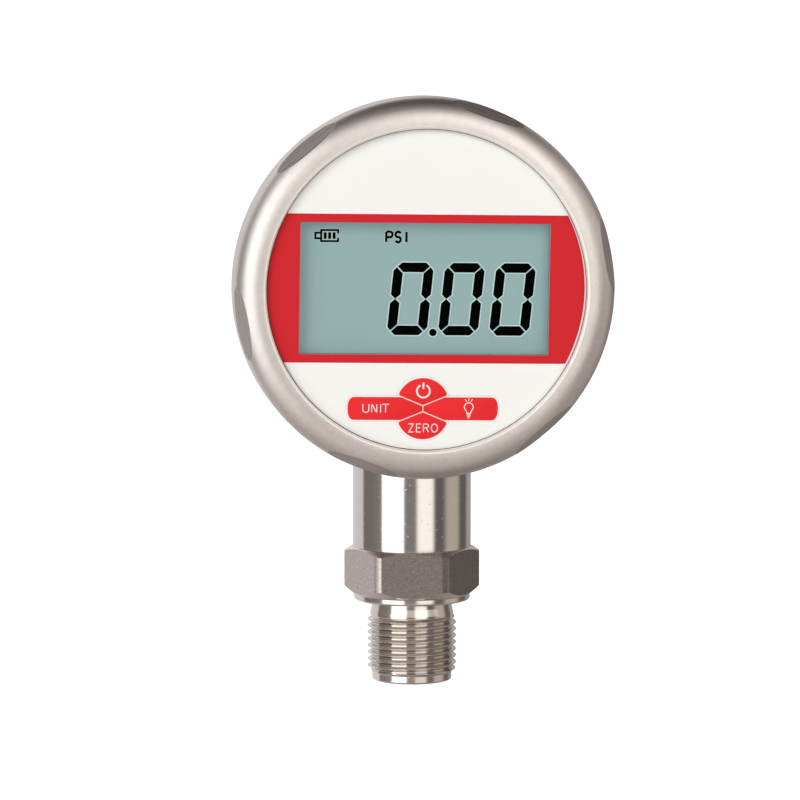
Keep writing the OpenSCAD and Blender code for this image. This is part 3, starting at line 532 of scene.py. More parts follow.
def brushed_flat(name, tone, rough):
    """Wrench flats: brush lines along each flat's chord, from the nearest flat's own angle."""
    lengthwise, crosswise, dark = 0.06, 2.2, 0.34

    def paint(n):
        x, y, z = n.split(n.place())
        up = z - FACE_Z
        pitch = TAU / FLAT_COUNT
        turn = n.math("ROUND", (n.math("ARCTAN2", up, x) - FLAT_TURN) / pitch) * pitch + FLAT_TURN
        c, s = n.math("COSINE", turn), n.math("SINE", turn)
        along = up * c - x * s
        out = (x * c + up * s) * math.sin(FLAT_TILT) + y * math.cos(FLAT_TILT)
        lines = n.noise(n.joined(along * lengthwise, out * crosswise, turn), 1.0, 3.0, 0.7)
        groove = n.step(lines, 0.3, 0.7)
        tint = n.mix(groove, rgb(*tone, less=dark), rgb(*tone))
        return {
            "Base Color": tint,
            "Roughness": rough * (0.75 + groove * 0.5),
            "Normal": n.bumped(groove, 0.006),
        }

    return finish(name, paint, Metallic=1.0)


def milled_flat(name, tone, rough):
    """Flats of the hexagon: a satin grain, twice as long across the stem as along it, and a finer one."""
    across, along, fine_scale, dark = 1.6, 3.2, 9.0, 0.27

    def paint(n):
        where = n.place()
        x, y, z = n.split(where)
        grain = n.noise(n.joined(x * across, y * across, z * along), 1.0, 4.0, 0.75)
        fine = n.noise(where, fine_scale, 2.0, 0.6)
        tint = n.mix(n.step(grain, 0.3, 0.7), rgb(*tone, less=dark), rgb(*tone))
        return {
            "Base Color": tint,
            "Roughness": rough * (0.85 + grain * 0.2 + fine * 0.1),
            "Normal": n.bumped(grain + fine, 0.004),
        }

    return finish(name, paint, Metallic=1.0)


def moulded(name, colour, rough, grain=4.0, depth=0.002, drift=0.04, **fixed):
    """Moulded or printed plastic and rubber: a fine grain, and a slow drift of its tone."""
    slow_scale = 0.06

    def paint(n):
        where = n.place()
        fine = n.noise(where, grain, 2.0, 0.6)
        slow = n.noise(where, slow_scale, 2.0, 0.5)
        tint = n.mix(slow, rgb(*colour, less=drift), rgb(*colour))
        return {
            "Base Color": tint,
            "Roughness": rough * (0.85 + fine * 0.3),
            "Normal": n.bumped(fine, depth),
        }

    return finish(name, paint, **fixed)


def layered(name, colour, other, pitch, rough):
    """Layers along x that change with a pitch in mm, as contact rubber has."""

    def paint(n):
        x = n.split(n.place())[0]
        band = n.step(n.math("SINE", x * (TAU / pitch)), -0.3, 0.3)
        return {"Base Color": n.mix(band, rgb(*colour), rgb(*other)), "Roughness": rough + band * 0.1}

    return finish(name, paint)


def display_face(name, colour):
    """Display glass: an even grey green, a quarter of it a painted glow that offsets the recess's shade."""
    slow_scale, drift, painted_glow = 0.05, 0.025, 0.25

    def paint(n):
        slow = n.noise(n.place(), slow_scale, 2.0, 0.5)
        tint = n.mix(slow, rgb(*colour, less=drift), rgb(*colour))
        return {
            "Base Color": n.scaled(tint, 1 - painted_glow),
            "Emission Color": n.scaled(tint, painted_glow),
            "Roughness": 0.3 + slow * 0.08,
        }

    return finish(name, paint, Emission_Strength=1.0)


DULL = {"Specular_IOR_Level": 0.08}
PRINT = {"grain": 7.0, "depth": 0.0006, **DULL}
RING = {"lines": 3.5, "grain": 0.0012}
# Painted highlight: the lip and bore are mostly a pale non-metal colour, which stands in for the bright
# line of light at the steel lip.
lip_steel_painted_highlight = turned_steel("lip_steel_painted_highlight", "face", (0.92, 0.885, 0.85), 0.5, metal=0.3, **RING)
ring_steel = turned_steel("ring_steel", "face", (0.75, 0.725, 0.705), 0.42, stain=0.04, mottle=0.28,
                          **RING)
flat_steel = brushed_flat("wrench_flat_steel", (0.6, 0.575, 0.56), 0.34)
case_steel = turned_steel("case_steel", "face", (0.7, 0.685, 0.675), 0.3, lines=4.0, grain=0.003)
neck_steel = turned_steel("neck_steel", "stem", (0.7, 0.68, 0.665), 0.12, lines=2.2, grain=0.0006,
                          specks=1.0)
thread_steel = turned_steel("thread_steel", "stem", (0.66, 0.63, 0.6), 0.08, lines=3.0, grain=0.0008)
turned_work = turned_steel("connection_steel", "stem", (0.74, 0.7, 0.67), 0.14, lines=3.0, grain=0.0012,
                           specks=0.8)
hex_steel = milled_flat("hexagon_steel", (0.585, 0.545, 0.52), 0.22)
inner_steel = turned_steel("inner_steel", "stem", (0.66, 0.65, 0.64), 0.3, lines=3.0, grain=0.002)
panel_white = moulded("panel_white", (0.915, 0.94, 0.937), 0.45, drift=0.015, **PRINT)
band_red = moulded("band_red", (0.645, 0.022, 0.032), 0.45, drift=0.03, **PRINT)
# Painted shade: the display opening's narrow rim and wall are coloured dark to show the recess's shadow.
window_wall_shade = moulded("window_wall_painted_shade", (0.22, 0.32, 0.32), 0.6, **DULL)
key_red = moulded("key_red", (0.85, 0.03, 0.037), 0.5, grain=5.0, depth=0.001, drift=0.03, **DULL)
key_white = moulded("key_white", (0.95, 0.94, 0.92), 0.5, grain=5.0, depth=0.001, drift=0.01)
legend_white = moulded("legend_white", (0.94, 0.87, 0.87), 0.5, grain=5.0, depth=0.0005, drift=0.01)
# Both display materials give off a painted glow: light from a surface that is no lamp.
display_grey = display_face("display_grey", (0.31, 0.483, 0.496))
display_glow = display_face("display_glow", (0.62, 0.84, 0.83))
segment_black = moulded("segment_black", (0.0006,) * 3, 0.9, grain=6.0, depth=0.0005,
                        Specular_IOR_Level=0.0)
window_clear = moulded("window_clear", (0.02, 0.025, 0.025), 0.1, grain=0.5, depth=0.0001, Alpha=0.03,
                       **DULL)
black_plastic = moulded("black_plastic", (0.018, 0.018, 0.02), 0.45, grain=3.2, depth=0.012, drift=0.12)
cover_plastic = moulded("cover_plastic", (0.02, 0.02, 0.022), 0.38, grain=1.1, depth=0.035, drift=0.25)
gasket_and_shadow_line = moulded("gasket_and_shadow_line", (0.05, 0.042, 0.037), 0.7, depth=0.004, **DULL)
rubber_black = moulded("seal_rubber", (0.015, 0.015, 0.015), 0.75, depth=0.006)
ivory_plastic = moulded("ivory_plastic", (0.8, 0.77, 0.66), 0.5)
strip_rubber = layered("strip_rubber", (0.2, 0.2, 0.21), (0.03, 0.03, 0.03), 0.4, 0.6)
board_green = moulded("board_green", (0.02, 0.14, 0.06), 0.3, grain=1.2, depth=0.01, drift=0.2)
part_tan = moulded("part_tan", (0.42, 0.3, 0.16), 0.45)
cell_sleeve = moulded("cell_sleeve", (0.66, 0.44, 0.1), 0.25, grain=1.0)
wire_sleeve = moulded("wire_sleeve", (0.05, 0.05, 0.055), 0.5)
tin_plate = turned_steel("tin_plate", "stem", (0.74, 0.74, 0.75), 0.25)
screw_steel = turned_steel("screw_steel", "face", (0.55, 0.55, 0.56), 0.28, lines=2.0, grain=0.003)
pin_brass = turned_steel("pin_brass", "stem", (0.8, 0.62, 0.26), 0.25)


# Bezel
def bezel_ring(columns=960):
    """The crown is a quarter ellipse turned round the face's axis. A wrench flat is a plane whose normal
    leans from the radius at its middle towards the viewer. In each section it leaves the crown at the
    angles t where A cos t + B sin t = C, or the round side below, and a straight line joins the two."""
    angle, pitch = whole_turn(columns), TAU / FLAT_COUNT
    off = (angle - FLAT_TURN + pitch / 2) % pitch - pitch / 2
    crown_r, crown_f = RING_R - CROWN_W, FRONT_F - CROWN_H
    cos_tilt, sin_tilt = math.cos(FLAT_TILT), math.sin(FLAT_TILT)
    depth = (RING_R - math.sqrt(RING_R**2 - (FLAT_LEN / 2) ** 2)) * cos_tilt
    bulge = math.hypot(CROWN_W * cos_tilt, CROWN_H * sin_tilt)
    plane = crown_r * cos_tilt + crown_f * sin_tilt + bulge - depth
    lean = np.cos(off) * cos_tilt
    a, b = CROWN_W * lean, CROWN_H * sin_tilt
    c = plane - crown_r * lean - crown_f * sin_tilt
    middle, half = np.arctan2(b, a), np.arccos(np.clip(c / np.hypot(a, b), -1, 1))
    low_t, high_t = middle - half, middle + half
    below = low_t < 0
    start_t = np.maximum(low_t, 0)
    start_f = np.where(below, crown_f + (c - a) / sin_tilt, crown_f + CROWN_H * np.sin(start_t))

    def grid(radius, height):
        return at_face(radius * np.cos(angle), radius * np.sin(angle), height)

    def crown(t):
        return crown_r + CROWN_W * np.cos(t), crown_f + CROWN_H * np.sin(t)

    share = np.linspace(0, 1, 15)[:, None]
    low_r, low_f = crown(start_t * share)
    lower = grid(np.where(below, RING_R, low_r), np.where(below, start_f, low_f))
    upper = grid(*crown(high_t + (math.pi / 2 - high_t) * share))
    ends_r = np.stack([crown(start_t)[0], crown(high_t)[0]])
    flats = grid(ends_r, np.stack([start_f, crown(high_t)[1]]))
    low_f = np.full(columns + 1, RING_BACK_F + BACK_EDGE_R)
    side_f = np.stack([low_f, np.where(below, start_f, crown_f)])
    side = grid(np.full_like(side_f, RING_R), side_f)
    lip = arc(crown_r, FRONT_F - LIP_R, -LIP_R, LIP_R, 90, 0, 8)
    bore_r, step_f, seat_r = PANEL_R + SEAT, PANEL_BACK_F + SEAT, COLLAR_R + FIT
    back_r = RING_R - BACK_EDGE_R
    inside = [lip[-1], (FACE_R, LIP_F), (bore_r, LIP_F), (bore_r, step_f), (seat_r, step_f)]
    inside += [(seat_r, RING_BACK_F), (back_r, RING_BACK_F)]
    back = arc(back_r, RING_BACK_F + BACK_EDGE_R, BACK_EDGE_R, -BACK_EDGE_R, 90, 0, 5)
    lip, bore, back = (turned(p, "face", columns) for p in (lip, softened(inside, 0.1, 2), back))
    # The lip and bore carry the painted highlight.
    parts = [(ring_steel, [side, lower, upper, back]), (lip_steel_painted_highlight, [lip, bore]), (flat_steel, [flats])]
    piece("bezel", "case", parts, ["bezel_ring"], sharp=40)


# Face
def bar_end(grow):
    """Upper half of the bar's end, from its outermost place to the bar's edge: an ellipse whose cosine and
    sine are raised to a power just under one."""
    t = np.radians(np.linspace(3, 90, 15))
    x, y = np.cos(t).clip(0) ** BAR_POWER, np.sin(t) ** BAR_POWER
    return np.stack([BAR_W / 2 - BAR_BULGE + (BAR_BULGE + grow) * x, (BAR_H / 2 + grow) * y], -1)


def keys_outline(grow):
    """Outline round all four keys: the bar with its bowed ends, and circles above and below."""
    radius = DOME_R + grow
    start = math.degrees(math.asin((BAR_H / 2 + grow - DOME_MID) / radius))
    right = np.concatenate([bar_end(grow), arc(0, DOME_MID, radius, radius, start, 90, 30)])
    left = right[-2::-1] * (-1, 1)
    upper = np.concatenate([right, left])
    return np.concatenate([upper, upper * (-1, -1)]) - (0, KEYS_DROP)


def dome_outline(side, grow, inset):
    """Outline of the upper key (side 1) or the lower one (side -1): the V of its two dividing lines,
    drawn in, and the dome's arc. A line meets the arc at the root of a square equation, and the two
    corners there are cut by a bend, the pale base's much less than the red top's."""
    tip = WAIST + inset * math.hypot(1, SLOPE)
    radius, rise, spread = DOME_R + grow, tip - DOME_MID, 1 + SLOPE**2
    x = (math.sqrt((SLOPE * rise) ** 2 + spread * (radius**2 - rise**2)) - SLOPE * rise) / spread
    start = math.degrees(math.atan2(rise + SLOPE * x, x))
    cut = 1 if grow <= 0 else BASE_CUT
    start += DOME_CUT_DEG * cut
    bow = arc(0, DOME_MID, radius, radius, start, 180 - start, 48)
    corner = np.array([x, rise + SLOPE * x + DOME_MID])
    foot = corner + (np.array([0, tip]) - corner) * DOME_CUT * cut
    bend = 0.25 * foot + 0.5 * corner + 0.25 * bow[0]
    ends = np.array([foot, bend])
    return np.vstack([[0, tip], ends, bow, ends[::-1] * (-1, 1)]) * (1, side) - (0, KEYS_DROP)


def bar_outline(side, grow, inset):
    """Outline of the left key (side -1) or the right one (side 1): the dividing lines, drawn in, then the
    bar's edge and end, mirrored below."""
    half_h, drop = BAR_H / 2 + grow, inset * math.hypot(1, SLOPE)
    near = WAIST - drop + inset * SLOPE
    meet = (half_h - WAIST + drop) / SLOPE
    upper = np.vstack([[inset, near], [meet, half_h], bar_end(grow)[::-1]])
    return np.concatenate([upper, upper[::-1] * (1, -1)]) * (side, 1) - (0, KEYS_DROP)


def key(name, outline, side, plunger):
    """A moulded key: a flange and a plunger behind, a pale base that fills the opening, and a red top."""
    line = KEY_LINE / 2
    grow = [KEY_RIM + KEY_FLANGE] * 2 + [KEY_RIM + KEY_FILL] * 2 + [0, 0, -KEY_SOFT / 2, -KEY_SOFT]
    inset = [KEY_SPLIT] * 4 + [line] * 2 + [line + KEY_SOFT / 2, line + KEY_SOFT]
    heights = [FLANGE_BACK_F, FLANGE_F, FLANGE_F, PANEL_F, PANEL_F]
    heights += [KEY_TOP_F - drop for drop in KEY_SOFT_DROPS]
    loops = [art_to_face(outline(side, g, i)) for g, i in zip(grow, inset)]
    x, y = art_to_face(np.array([plunger]))[0]
    base = [wall(loops[:5], heights[:5]), cap([loops[0]], heights[0])]
    top = [wall(loops[4:], heights[4:]), cap([loops[-1]], heights[-1])]
    node = f"{name}_key"
    stem = rod(x, y, PLUNGER_R, -reach(node)[1][1], FLANGE_BACK_F)
    parts = [(key_white, base + stem), (key_red, top)]
    piece(f"key_{name}", f"{name}_button", parts, [node])


def rounded_box(width, height, corner):
    """Outline of a rectangle with rounded corners."""
    x, y = width / 2 - corner, height / 2 - corner
    turns = ((x, y, 0), (-x, y, 90), (-x, -y, 180), (x, -y, 270))
    return np.concatenate([arc(cx, cy, corner, corner, a, a + 90, 4) for cx, cy, a in turns])


def face_panel():
    """The front plate: a disc with two openings, its red band as a face of its own, four posts behind."""
    half = math.degrees(math.asin(BAND_HALF / BAND_R))
    band = np.concatenate([arc(0, 0, BAND_R, BAND_R, a - half, a + half, 60) for a in (0, 180)])
    window = rounded_box(WINDOW_W, WINDOW_H, WINDOW_CORNER)
    keys = keys_outline(KEY_RIM + KEY_PLAY)
    band, window, wide_window, keys, wide_keys = map(
        art_to_face, (band, window, grown(window, WINDOW_EDGE), keys, grown(keys, KEYS_EDGE)))
    rim = circle(0, 0, PANEL_R, 180)
    steps = [PANEL_F, PANEL_F - EDGE_DROP, PANEL_BACK_F]
    white = [cap([rim, band, wide_keys], PANEL_F), wall([rim, rim], [PANEL_F, PANEL_BACK_F])]
    white += [wall([wide_keys, keys, keys], steps), cap([rim, window, keys], PANEL_BACK_F)]
    for x in (-POST_AT, POST_AT):
        for y in (-POST_AT, POST_AT):
            spot = np.array([[x - ART_X, y - ART_Y]])
            white += rod(*art_to_face(spot)[0], POST_R, BOARD_F, PANEL_BACK_F, POST_BORE_R)
    red = [cap([band, wide_window], PANEL_F)]
    # The display opening's rim and wall take the painted shade.
    opening = [wall([wide_window, window, window], steps)]
    parts = [(panel_white, white), (band_red, red), (window_wall_shade, opening)]
    piece("front_plate", "case", parts, ["face_panel"])


# Letters and signs: paths in a box one unit high, with the letter's width as the other unit
LETTERS = {
    "U": [np.vstack([[0, 1], arc(0.5, 0.36, 0.5, 0.36, 180, 360), [1, 1]])],
    "N": [[[0, 0], [0, 1]], [[0.05, 1], [0.95, 0]], [[1, 0], [1, 1]]],
    "I": [[[0, 0], [0, 1]]],
    "T": [[[0, 1], [1, 1]], [[0.5, 1], [0.5, 0]]],
    "Z": [[[0, 1], [1, 1]], [[0.94, 1], [0.06, 0]], [[0, 0], [1, 0]]],
    "E": [[[1, 1], [0, 1], [0, 0], [1, 0]], [[0, 0.52], [0.85, 0.52]]],
    "R": [[[0, 0], [0, 1]], np.vstack([[0, 1], arc(0.55, 0.76, 0.4, 0.24, 90, -90), [0, 0.52]]),
          [[0.5, 0.52], [1, 0]]],
    "O": [arc(0.5, 0.5, 0.5, 0.5, 0, 360, 28)],
    "P": [[[0, 0], [0, 1]], np.vstack([[0, 1], arc(0.6, 0.74, 0.4, 0.26, 90, -90), [0, 0.48]])],
    "S": [np.vstack([arc(0.5, 0.74, 0.5, 0.26, 20, 270), arc(0.5, 0.26, 0.5, 0.26, 90, -160)[1:]])],
}


def lettering(places, y, height, width):
    """Outlines of letters about the height y, each with its own left edge and breadth."""
    return [
        stroke(np.asarray(path) * (wide, height) + (left, y - height / 2), width)
        for letter, left, wide in places for path in LETTERS[letter]
    ]


def face_gasket():
    """The soft ring between panel and bezel, turned round the face's axis and moved a little off it. Its
    edge shows as a thin dark line inside the bezel's lip: the real gasket, placed to paint the lip's
    shadow."""
    front_f, back_f = (-corner[1] for corner in reach("panel_gasket"))
    outer, inner = half_width("panel_gasket"), FACE_R - GASKET_EDGE
    profile = [(outer, back_f), (inner, back_f), (inner, PANEL_F + GASKET_EDGE_H)]
    profile += [(FACE_R + GASKET_SLOPE, front_f), (outer, front_f), (outer, back_f)]
    # The shift gives the painted shadow line its uneven width round the lip.
    ring = turned(softened(profile, 0.05, 2), "face") + GASKET_SHADOW_SHIFT
    piece("face_gasket", "case", [(gasket_and_shadow_line, [ring])], ["panel_gasket"])


def print_on(name, body, material, outlines, back_f, top_f, stands_for=()):
    """A print: flat shapes of the art frame, each with a small thickness."""
    tiles = [surface for loop in outlines for surface in tile(art_to_face(loop), back_f, top_f)]
    piece(name, body, [(material, tiles)], stands_for)


def shifted(outlines, x, y):
    return [loop + (x, y) for loop in outlines]


def power_sign():
    """A ring that is open at the top, and a bar in the opening."""
    x, y, radius, half_gap, line = 0.05, 3.87, 1.42, 28, 0.38
    ring = arc(x, y, radius, radius, 90 + half_gap, 450 - half_gap, 36)
    bar = [[x, y + 0.48], [x, y + 1.88]]
    return shifted([stroke(ring, line), stroke(bar, line + 0.02)], 0, -KEYS_DROP)


def bulb_sign():
    """A bulb's outline, two bands of its cap, a tip, and three rays above."""
    middle, ray_line = 10.1, 0.16
    bulb = np.vstack([[-0.42, -0.98], [-0.5, -0.55], arc(0, 0.42, 0.98, 0.9, 215, -35, 24), [0.5, -0.55],
                      [0.42, -0.98], [-0.42, -0.98]])
    rays = [[[0, 1.76], [0, 2.38]], [[-0.42, 1.56], [-0.84, 2.16]], [[0.42, 1.56], [0.8, 2.13]]]
    bands = [[[-half, y], [half, y]] for half, y in ((0.42, -1.32), (0.36, -1.64), (0.2, -1.98))]
    lines = [stroke(bulb, LEGEND_LINE)] + [stroke(ray, ray_line) for ray in rays]
    lines += [stroke(band, LEGEND_LINE) for band in bands]
    return shifted(lines, middle, -KEYS_DROP)


def digit():
    """The zero of a seven-stroke display, upright about its centre: six strokes with clipped corners."""
    x, y = DIGIT_W / 2, DIGIT_H / 2
    right_half = np.array([[2.65, y], [3.5, y - 0.82], [2.2, y - 2.1]])
    lying = np.concatenate([[(-2.65, y)], right_half, right_half[:0:-1] * (-1, 1)])
    standing = np.array([[x - 0.66, y - 1.0], [x, y - 1.8], [x, 0.95], [x - 1.05, 0.02], [x - 2.12, 0.95],
                         [x - 2.12, y - 2.4]])
    strokes = [lying, lying * (1, -1)]
    return strokes + [standing * (sx, sy) for sx in (-1, 1) for sy in (-1, 1)]


def reading():
    """Three leaning zeros with a point after the first."""
    lean = np.array([[1, 0], [DIGIT_SLANT, 1]])
    marks = [loop @ lean + (DIGITS_X + i * DIGIT_PITCH, DIGITS_Y) for i in (-1, 0, 1) for loop in digit()]
    point = circle(DIGITS_X - DIGIT_PITCH / 2 - POINT_LEFT, DIGITS_Y - DIGIT_H / 2 + POINT_UP, POINT_R, 24)
    return [*marks, point]


def battery_sign():
    """A box, open at the middle of its right side, with a nub on its left and three bars in it."""
    left, right, low, high = BATTERY_BOX
    middle, nub = (low + high) / 2, left - BATTERY_NUB
    upper = np.array([[right, middle + BATTERY_GAP], [right, high], [left, high]])
    box = np.concatenate([upper, (upper * (1, -1) + (0, 2 * middle))[::-1]])
    top, bottom = middle + BATTERY_NUB_HALF, middle - BATTERY_NUB_HALF
    nub_side = [[left, top], [nub, top], [nub, bottom], [left, bottom]]
    signs = [stroke(box, BATTERY_LINE), stroke(nub_side, BATTERY_LINE)]
    for i in range(3):
        x = left + CHARGE_X + i * CHARGE_PITCH
        signs.append(stroke([[x, low + CHARGE_INSET], [x, high - CHARGE_INSET]], CHARGE_LINE))
    return signs


def display():
    """The marks stand on the display glass, over pale shapes a little larger than they are."""
    digits, signs = reading(), battery_sign() + lettering(PSI, PSI_Y, PSI_H, PSI_LINE)
    # The pale shapes round the marks use a glowing display material: painted glow.
    glow = [grown(loop, DIGIT_GLOW) for loop in digits] + [grown(loop, SIGN_GLOW) for loop in signs]
    low_f, glow_f, top_f = GLASS_F - GLOW_SINK, GLASS_F + GLOW_RISE, GLASS_F + MARK_RISE
    print_on("display_glow", "case", display_glow, glow, low_f, glow_f)
    print_on("display_marks", "case", segment_black, digits + signs, GLASS_F, top_f,
             ["lcd_segments"])


# Stem
def neck_tube():
    """The neck, turned round the stem. Its upper end follows the case: at x its height is the face
    centre's less the root of the seat's radius squared less x squared. The stub rises out of it."""
    angle = whole_turn(192)
    foot_z, head_z = NECK_Z + EDGE_ZONE, STUB_TOP_Z - EDGE_ZONE

    def saddle(radius):
        return FACE_Z - np.sqrt((CASE_R + SEAT) ** 2 - (radius * np.cos(angle)) ** 2)

    low = softened([(NECK_BORE_R, NECK_Z), (NECK_R, NECK_Z), (NECK_R, foot_z)])
    outer = on_stem(NECK_R, angle, np.stack([np.full_like(angle, foot_z), saddle(NECK_R)]))
    seat_r = np.linspace(NECK_R, STUB_R, 9)[:, None]
    seat = on_stem(seat_r, angle, saddle(seat_r))
    stub = on_stem(STUB_R, angle, np.stack([saddle(STUB_R), np.full_like(angle, head_z)]))
    top = softened([(STUB_R, head_z), (STUB_R, STUB_TOP_Z), (DUCT_R, STUB_TOP_Z), (DUCT_R, NECK_BORE_TOP_Z),
                    (NECK_BORE_R, NECK_BORE_TOP_Z), (NECK_BORE_R, NECK_Z)], 0.3)
    surfaces = [turned(low), outer, seat, stub, turned(top)]
    piece("neck", "case", [(neck_steel, surfaces)], ["neck_tube"])


def thread_grid(columns=240):
    """A right-hand thread. Its rows follow the helix: height = start + pitch times the turns, and the
    radius is the ridge's section at that height less the helix's rise. The ridge fades out at both ends,
    and at the upper one the groove's floor flares out to meet the relief."""
    angle = np.linspace(0, TAU, columns + 1)
    crest, flank = THREAD_PITCH / 8, THREAD_DEPTH * math.tan(THREAD_HALF_V)
    valley = THREAD_PITCH - crest - 2 * flank
    rise, fall = valley + flank, valley + flank + crest
    section = softened([(ROOT_R, 0), (ROOT_R, valley), (THREAD_R, rise), (THREAD_R, fall),
                        (ROOT_R, THREAD_PITCH), (ROOT_R, THREAD_PITCH + valley / 2)], 0.3, 5)
    section = section[section[:, 1] < THREAD_PITCH]
    turns = np.arange(-2, 10)[:, None] * THREAD_PITCH
    start = TIP_LEN + THREAD_PHASE
    rows = (start + turns + section[:, 1]).reshape(-1, 1)
    climb = THREAD_PITCH * angle / TAU
    height = np.clip(rows + climb, TIP_LEN, RUN_OUT_Z)
    phase = (height - climb - start) % THREAD_PITCH
    around = np.concatenate([section, section[:1] + (0, THREAD_PITCH)])
    ridge = np.interp(phase, around[:, 1], around[:, 0]) - ROOT_R
    fade = np.clip((height - TIP_LEN) / FADE_IN, 0, 1) * np.clip((RUN_OUT_Z - height) / FADE_OUT, 0, 1)
    groove = np.interp(height, [THREAD_END_Z, RUN_OUT_Z], [ROOT_R, RELIEF_R + FLARE])
    radius = groove + np.maximum(ridge - (groove - ROOT_R), 0) * fade
    return on_stem(radius, angle, height)


def hexagon():
    """Upright surfaces and cones: six flats at one distance from the axis, joined by lands of one radius,
    and a low and a high cone that cut their edges, whose height is linear in the local radius."""
    land = math.acos(HEX_HALF / HEX_CORNER_R)
    sixth = TAU / 6
    flats, lands, cones = [], [], []
    for i in range(6):
        middle = HEX_TURN + (i + 0.5) * sixth
        for low, high, steps, group in ((-land, land, 24, flats), (land, sixth - land, 6, lands)):
            off = np.linspace(low, high, steps + 1)
            nearest = (off + sixth / 2) % sixth - sixth / 2
            radius = np.minimum(HEX_HALF / np.cos(nearest), HEX_CORNER_R)
            below = HEX_Z + (radius - SEAL_COLLAR_R) * HEX_LOW / (HEX_CORNER_R - SEAL_COLLAR_R)
            above = NECK_Z - (radius - NECK_R) * HEX_TOP / (HEX_CORNER_R - NECK_R)
            ring = np.stack([np.full_like(off, SEAL_COLLAR_R), radius, radius, np.full_like(off, NECK_R)])
            height = np.stack([np.full_like(off, HEX_Z), below, above, np.full_like(off, NECK_Z)])
            grid = on_stem(ring, middle + off, height)
            cones += [grid[:2], grid[2:]]
            group.append(grid[1:3])
    return flats + lands, cones


def connection():
    """The connection, round the stem: port, tip, thread, relief, sealing collar, hexagon and spigot."""
    edge, flare_r = EDGE_BEVEL, RELIEF_R + FLARE
    tip = softened([(PORT_R, PORT_MOUTH), (PORT_R, PORT_BEVEL), (PORT_R + PORT_BEVEL, 0), (TIP_R - edge, 0),
                    (TIP_R, edge), (TIP_R, TIP_LEN - 0.1), (ROOT_R, TIP_LEN)], 0.06, 3)
    relief = softened([(flare_r, RUN_OUT_Z), (flare_r, RUN_OUT_Z + FLARE_LEN), (RELIEF_END_R, RELIEF_END_Z),
                       (RELIEF_END_R, COLLAR_Z), (SEAL_COLLAR_R - edge, COLLAR_Z),
                       (SEAL_COLLAR_R, COLLAR_Z + edge), (SEAL_COLLAR_R, HEX_Z)], 0.12, 3)
    spigot = softened([(NECK_R, NECK_Z), (SPIGOT_R, NECK_Z), (SPIGOT_R, SPIGOT_TOP_Z),
                       (POCKET_R, SPIGOT_TOP_Z), (POCKET_R, PORT_LEN), (PORT_R, PORT_LEN),
                       (PORT_R, PORT_MOUTH)], 0.1, 3)
    upright, cones = hexagon()
    turned_parts = [turned(tip, columns=240), turned(relief, columns=240), *cones, turned(spigot)]
    parts = [(turned_work, turned_parts), (thread_steel, [thread_grid()]), (hex_steel, upright)]
    piece("connection", "case", parts, ["process_connector"], sharp=25)


bezel_ring()
face_panel()
face_gasket()
key("power", dome_outline, 1, (0, DOME_PLUNGER - KEYS_DROP))
key("zero", dome_outline, -1, (0, -DOME_PLUNGER - KEYS_DROP))
key("light", bar_outline, 1, (BAR_PLUNGER, -KEYS_DROP))
key("units", bar_outline, -1, (-BAR_PLUNGER, -KEYS_DROP))
legends = {
    "units": lettering(UNIT, UNIT_Y - KEYS_DROP, UNIT_H, LEGEND_LINE),
    "zero": lettering(ZERO, ZERO_Y - KEYS_DROP, ZERO_H, LEGEND_LINE),
    "power": power_sign(),
    "light": bulb_sign(),
}
low_f, top_f = KEY_TOP_F - LEGEND_SINK, KEY_TOP_F + LEGEND_RISE
for button, outlines in legends.items():
    print_on(f"legend_{button}", f"{button}_button", legend_white, outlines, low_f, top_f)
display()
neck_tube()
connection()
skin_of("case_shell", "case_body", case_steel)
skin_of("rear_cover", "cover", cover_plastic)
skin_of("cover_screws", "cover_screw_set", screw_steel)
skin_of("vent_plug", "vent", black_plastic)

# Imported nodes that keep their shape
finishes = {
    window_clear: ["display_window"],
    display_grey: ["lcd_glass"],
    black_plastic: ["lcd_frame", "microcontroller", "battery_tray"],
    rubber_black: ["bezel_seal", "rear_gasket", "neck_seal", "sensor_seal"],
    ivory_plastic: ["backlight_panel", "board_sockets", "sensor_plug"],
    strip_rubber: ["contact_strips"],
    board_green: ["display_board", "sensor_board"],
    tin_plate: ["key_switches", "battery_contacts", "battery_springs"],
    part_tan: ["board_parts"],
    screw_steel: ["board_screws"],
    cell_sleeve: ["upper_cell", "lower_cell"],
    wire_sleeve: ["battery_leads", "sensor_cable"],
    inner_steel: ["saddle_washer", "case_nut", "pressure_sensor", "sensor_ring"],
    pin_brass: ["sensor_pins"],
}
for material, nodes in finishes.items():
    for node in nodes:
        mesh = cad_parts[node].data
        mesh.materials.clear()
        mesh.materials.append(material)


# Studio
def studio_light():
    """The room's light by direction, in degrees right of the camera and above the horizon: a soft wall,
    brightest a little above the horizon and darker on the right, under a dark ceiling and over a dim
    floor, with two white boxes in front and fainter ones round it. Eye and clear pieces see white."""
    world = bpy.data.worlds.new("studio")
    bpy.context.scene.world = world
    n = Nodes(world)
    x, y, z = n.split(n.node("TexCoord", out="Generated"))
    c, s = math.cos(CAMERA_TURN), math.sin(CAMERA_TURN)
    degrees = 360 / TAU
    across = n.math("ARCTAN2", x * c - y * s, x * -s - y * c) * degrees
    rise = n.math("ARCSINE", z) * degrees
    below = n.step(rise, -90, -35, 0.36, 0.84) * n.step(rise, -38, -8, 1.0, 0.4)
    level = below * n.step(rise, 29, 62, 1.0, 0.22) + n.inside(rise, 15, 55, 12) * 0.26
    level = level * n.step(across, 42, 50, 1.0, 0.55) * n.step(across, -90, -60, 0.8, 1.0)
    light = n.scaled(WALL_TONE, level)
    for (left, right, soft), (low, high, fade), colour in LIGHT_BOXES:
        mask = n.inside(across, left, right, soft) * n.inside(rise, low, high, fade)
        light = n.added(light, n.scaled(colour, mask))
    studio = n.node("Background", None, {"Color": light, "Strength": STUDIO_STRENGTH})
    white = n.node("Background", None, {"Color": rgb(1, 1, 1), "Strength": 1.0})
    n.ending(n.node("MixShader", None, {0: n.straight(), 1: studio, 2: white}), "OutputWorld")


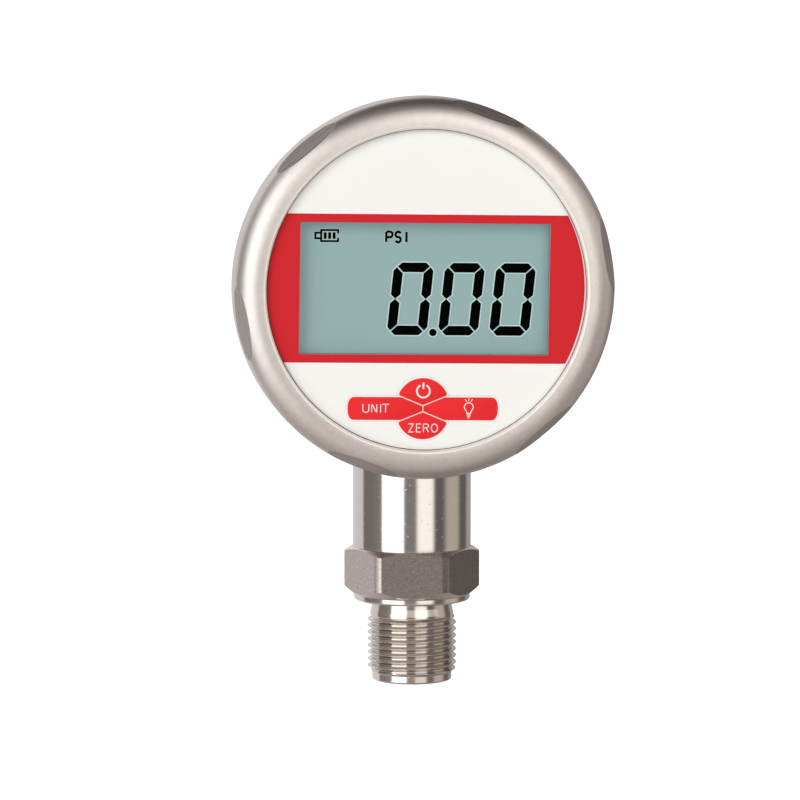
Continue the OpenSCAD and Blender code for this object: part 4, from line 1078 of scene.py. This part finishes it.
def key_lamp():
    """One soft lamp, above on the left, that shades the sunk face and display but isn't seen in metal."""
    data = bpy.data.lights.new("key_lamp", "AREA")
    data.shape, data.size, data.energy, data.color = "DISK", LAMP_SIZE, LAMP_POWER, LAMP_TONE
    lamp = placed("key_lamp", data)
    lamp.location = LAMP_AT
    lamp.rotation_euler = (CAMERA_AIM - lamp.location).to_track_quat("-Z", "Y").to_euler()
    lamp.visible_glossy = False


def floor():
    """A pale floor whose glow for the eye makes up what the light lacks to white, save in the shadow."""
    material = bpy.data.materials.new("floor_white")
    n = Nodes(material)
    grain = n.noise(n.place(), 0.02, 2.0)
    tint = n.mix(grain, rgb(0.86, 0.86, 0.86), rgb(0.88, 0.88, 0.88))
    matt = n.node("BsdfDiffuse", None, {"Color": tint})
    glow = n.node("Emission", None, {"Color": rgb(1, 1, 1), "Strength": n.seen() * FLOOR_GLOW})
    n.ending(n.node("AddShader", None, {0: matt, 1: glow}))
    corners = ((-1, -1), (1, -1), (1, 1), (-1, 1))
    mesh = bpy.data.meshes.new("floor")
    mesh.from_pydata([(x * FLOOR_HALF, y * FLOOR_HALF, FLOOR_Z) for x, y in corners], [], [(0, 1, 2, 3)])
    mesh.materials.append(material)
    plane = placed("floor", mesh)
    plane.visible_glossy = plane.visible_diffuse = False


def camera():
    """The photograph's viewpoint: a long lens aimed at the middle of the gauge."""
    data = bpy.data.cameras.new("camera")
    data.lens, data.sensor_width = CAMERA_LENS, CAMERA_SENSOR
    data.clip_start, data.clip_end = CAMERA_NEAR_CLIP, CAMERA_FAR_CLIP
    eye = placed("camera", data)
    flat = math.cos(CAMERA_RISE)
    back = Vector((-math.sin(CAMERA_TURN) * flat, -math.cos(CAMERA_TURN) * flat, math.sin(CAMERA_RISE)))
    eye.location = CAMERA_AIM + back * CAMERA_FAR
    eye.rotation_euler = (-back).to_track_quat("-Z", "Y").to_euler()
    bpy.context.scene.camera = eye


studio_light()
key_lamp()
floor()
camera()
bpy.context.scene.view_settings.view_transform = "Standard"
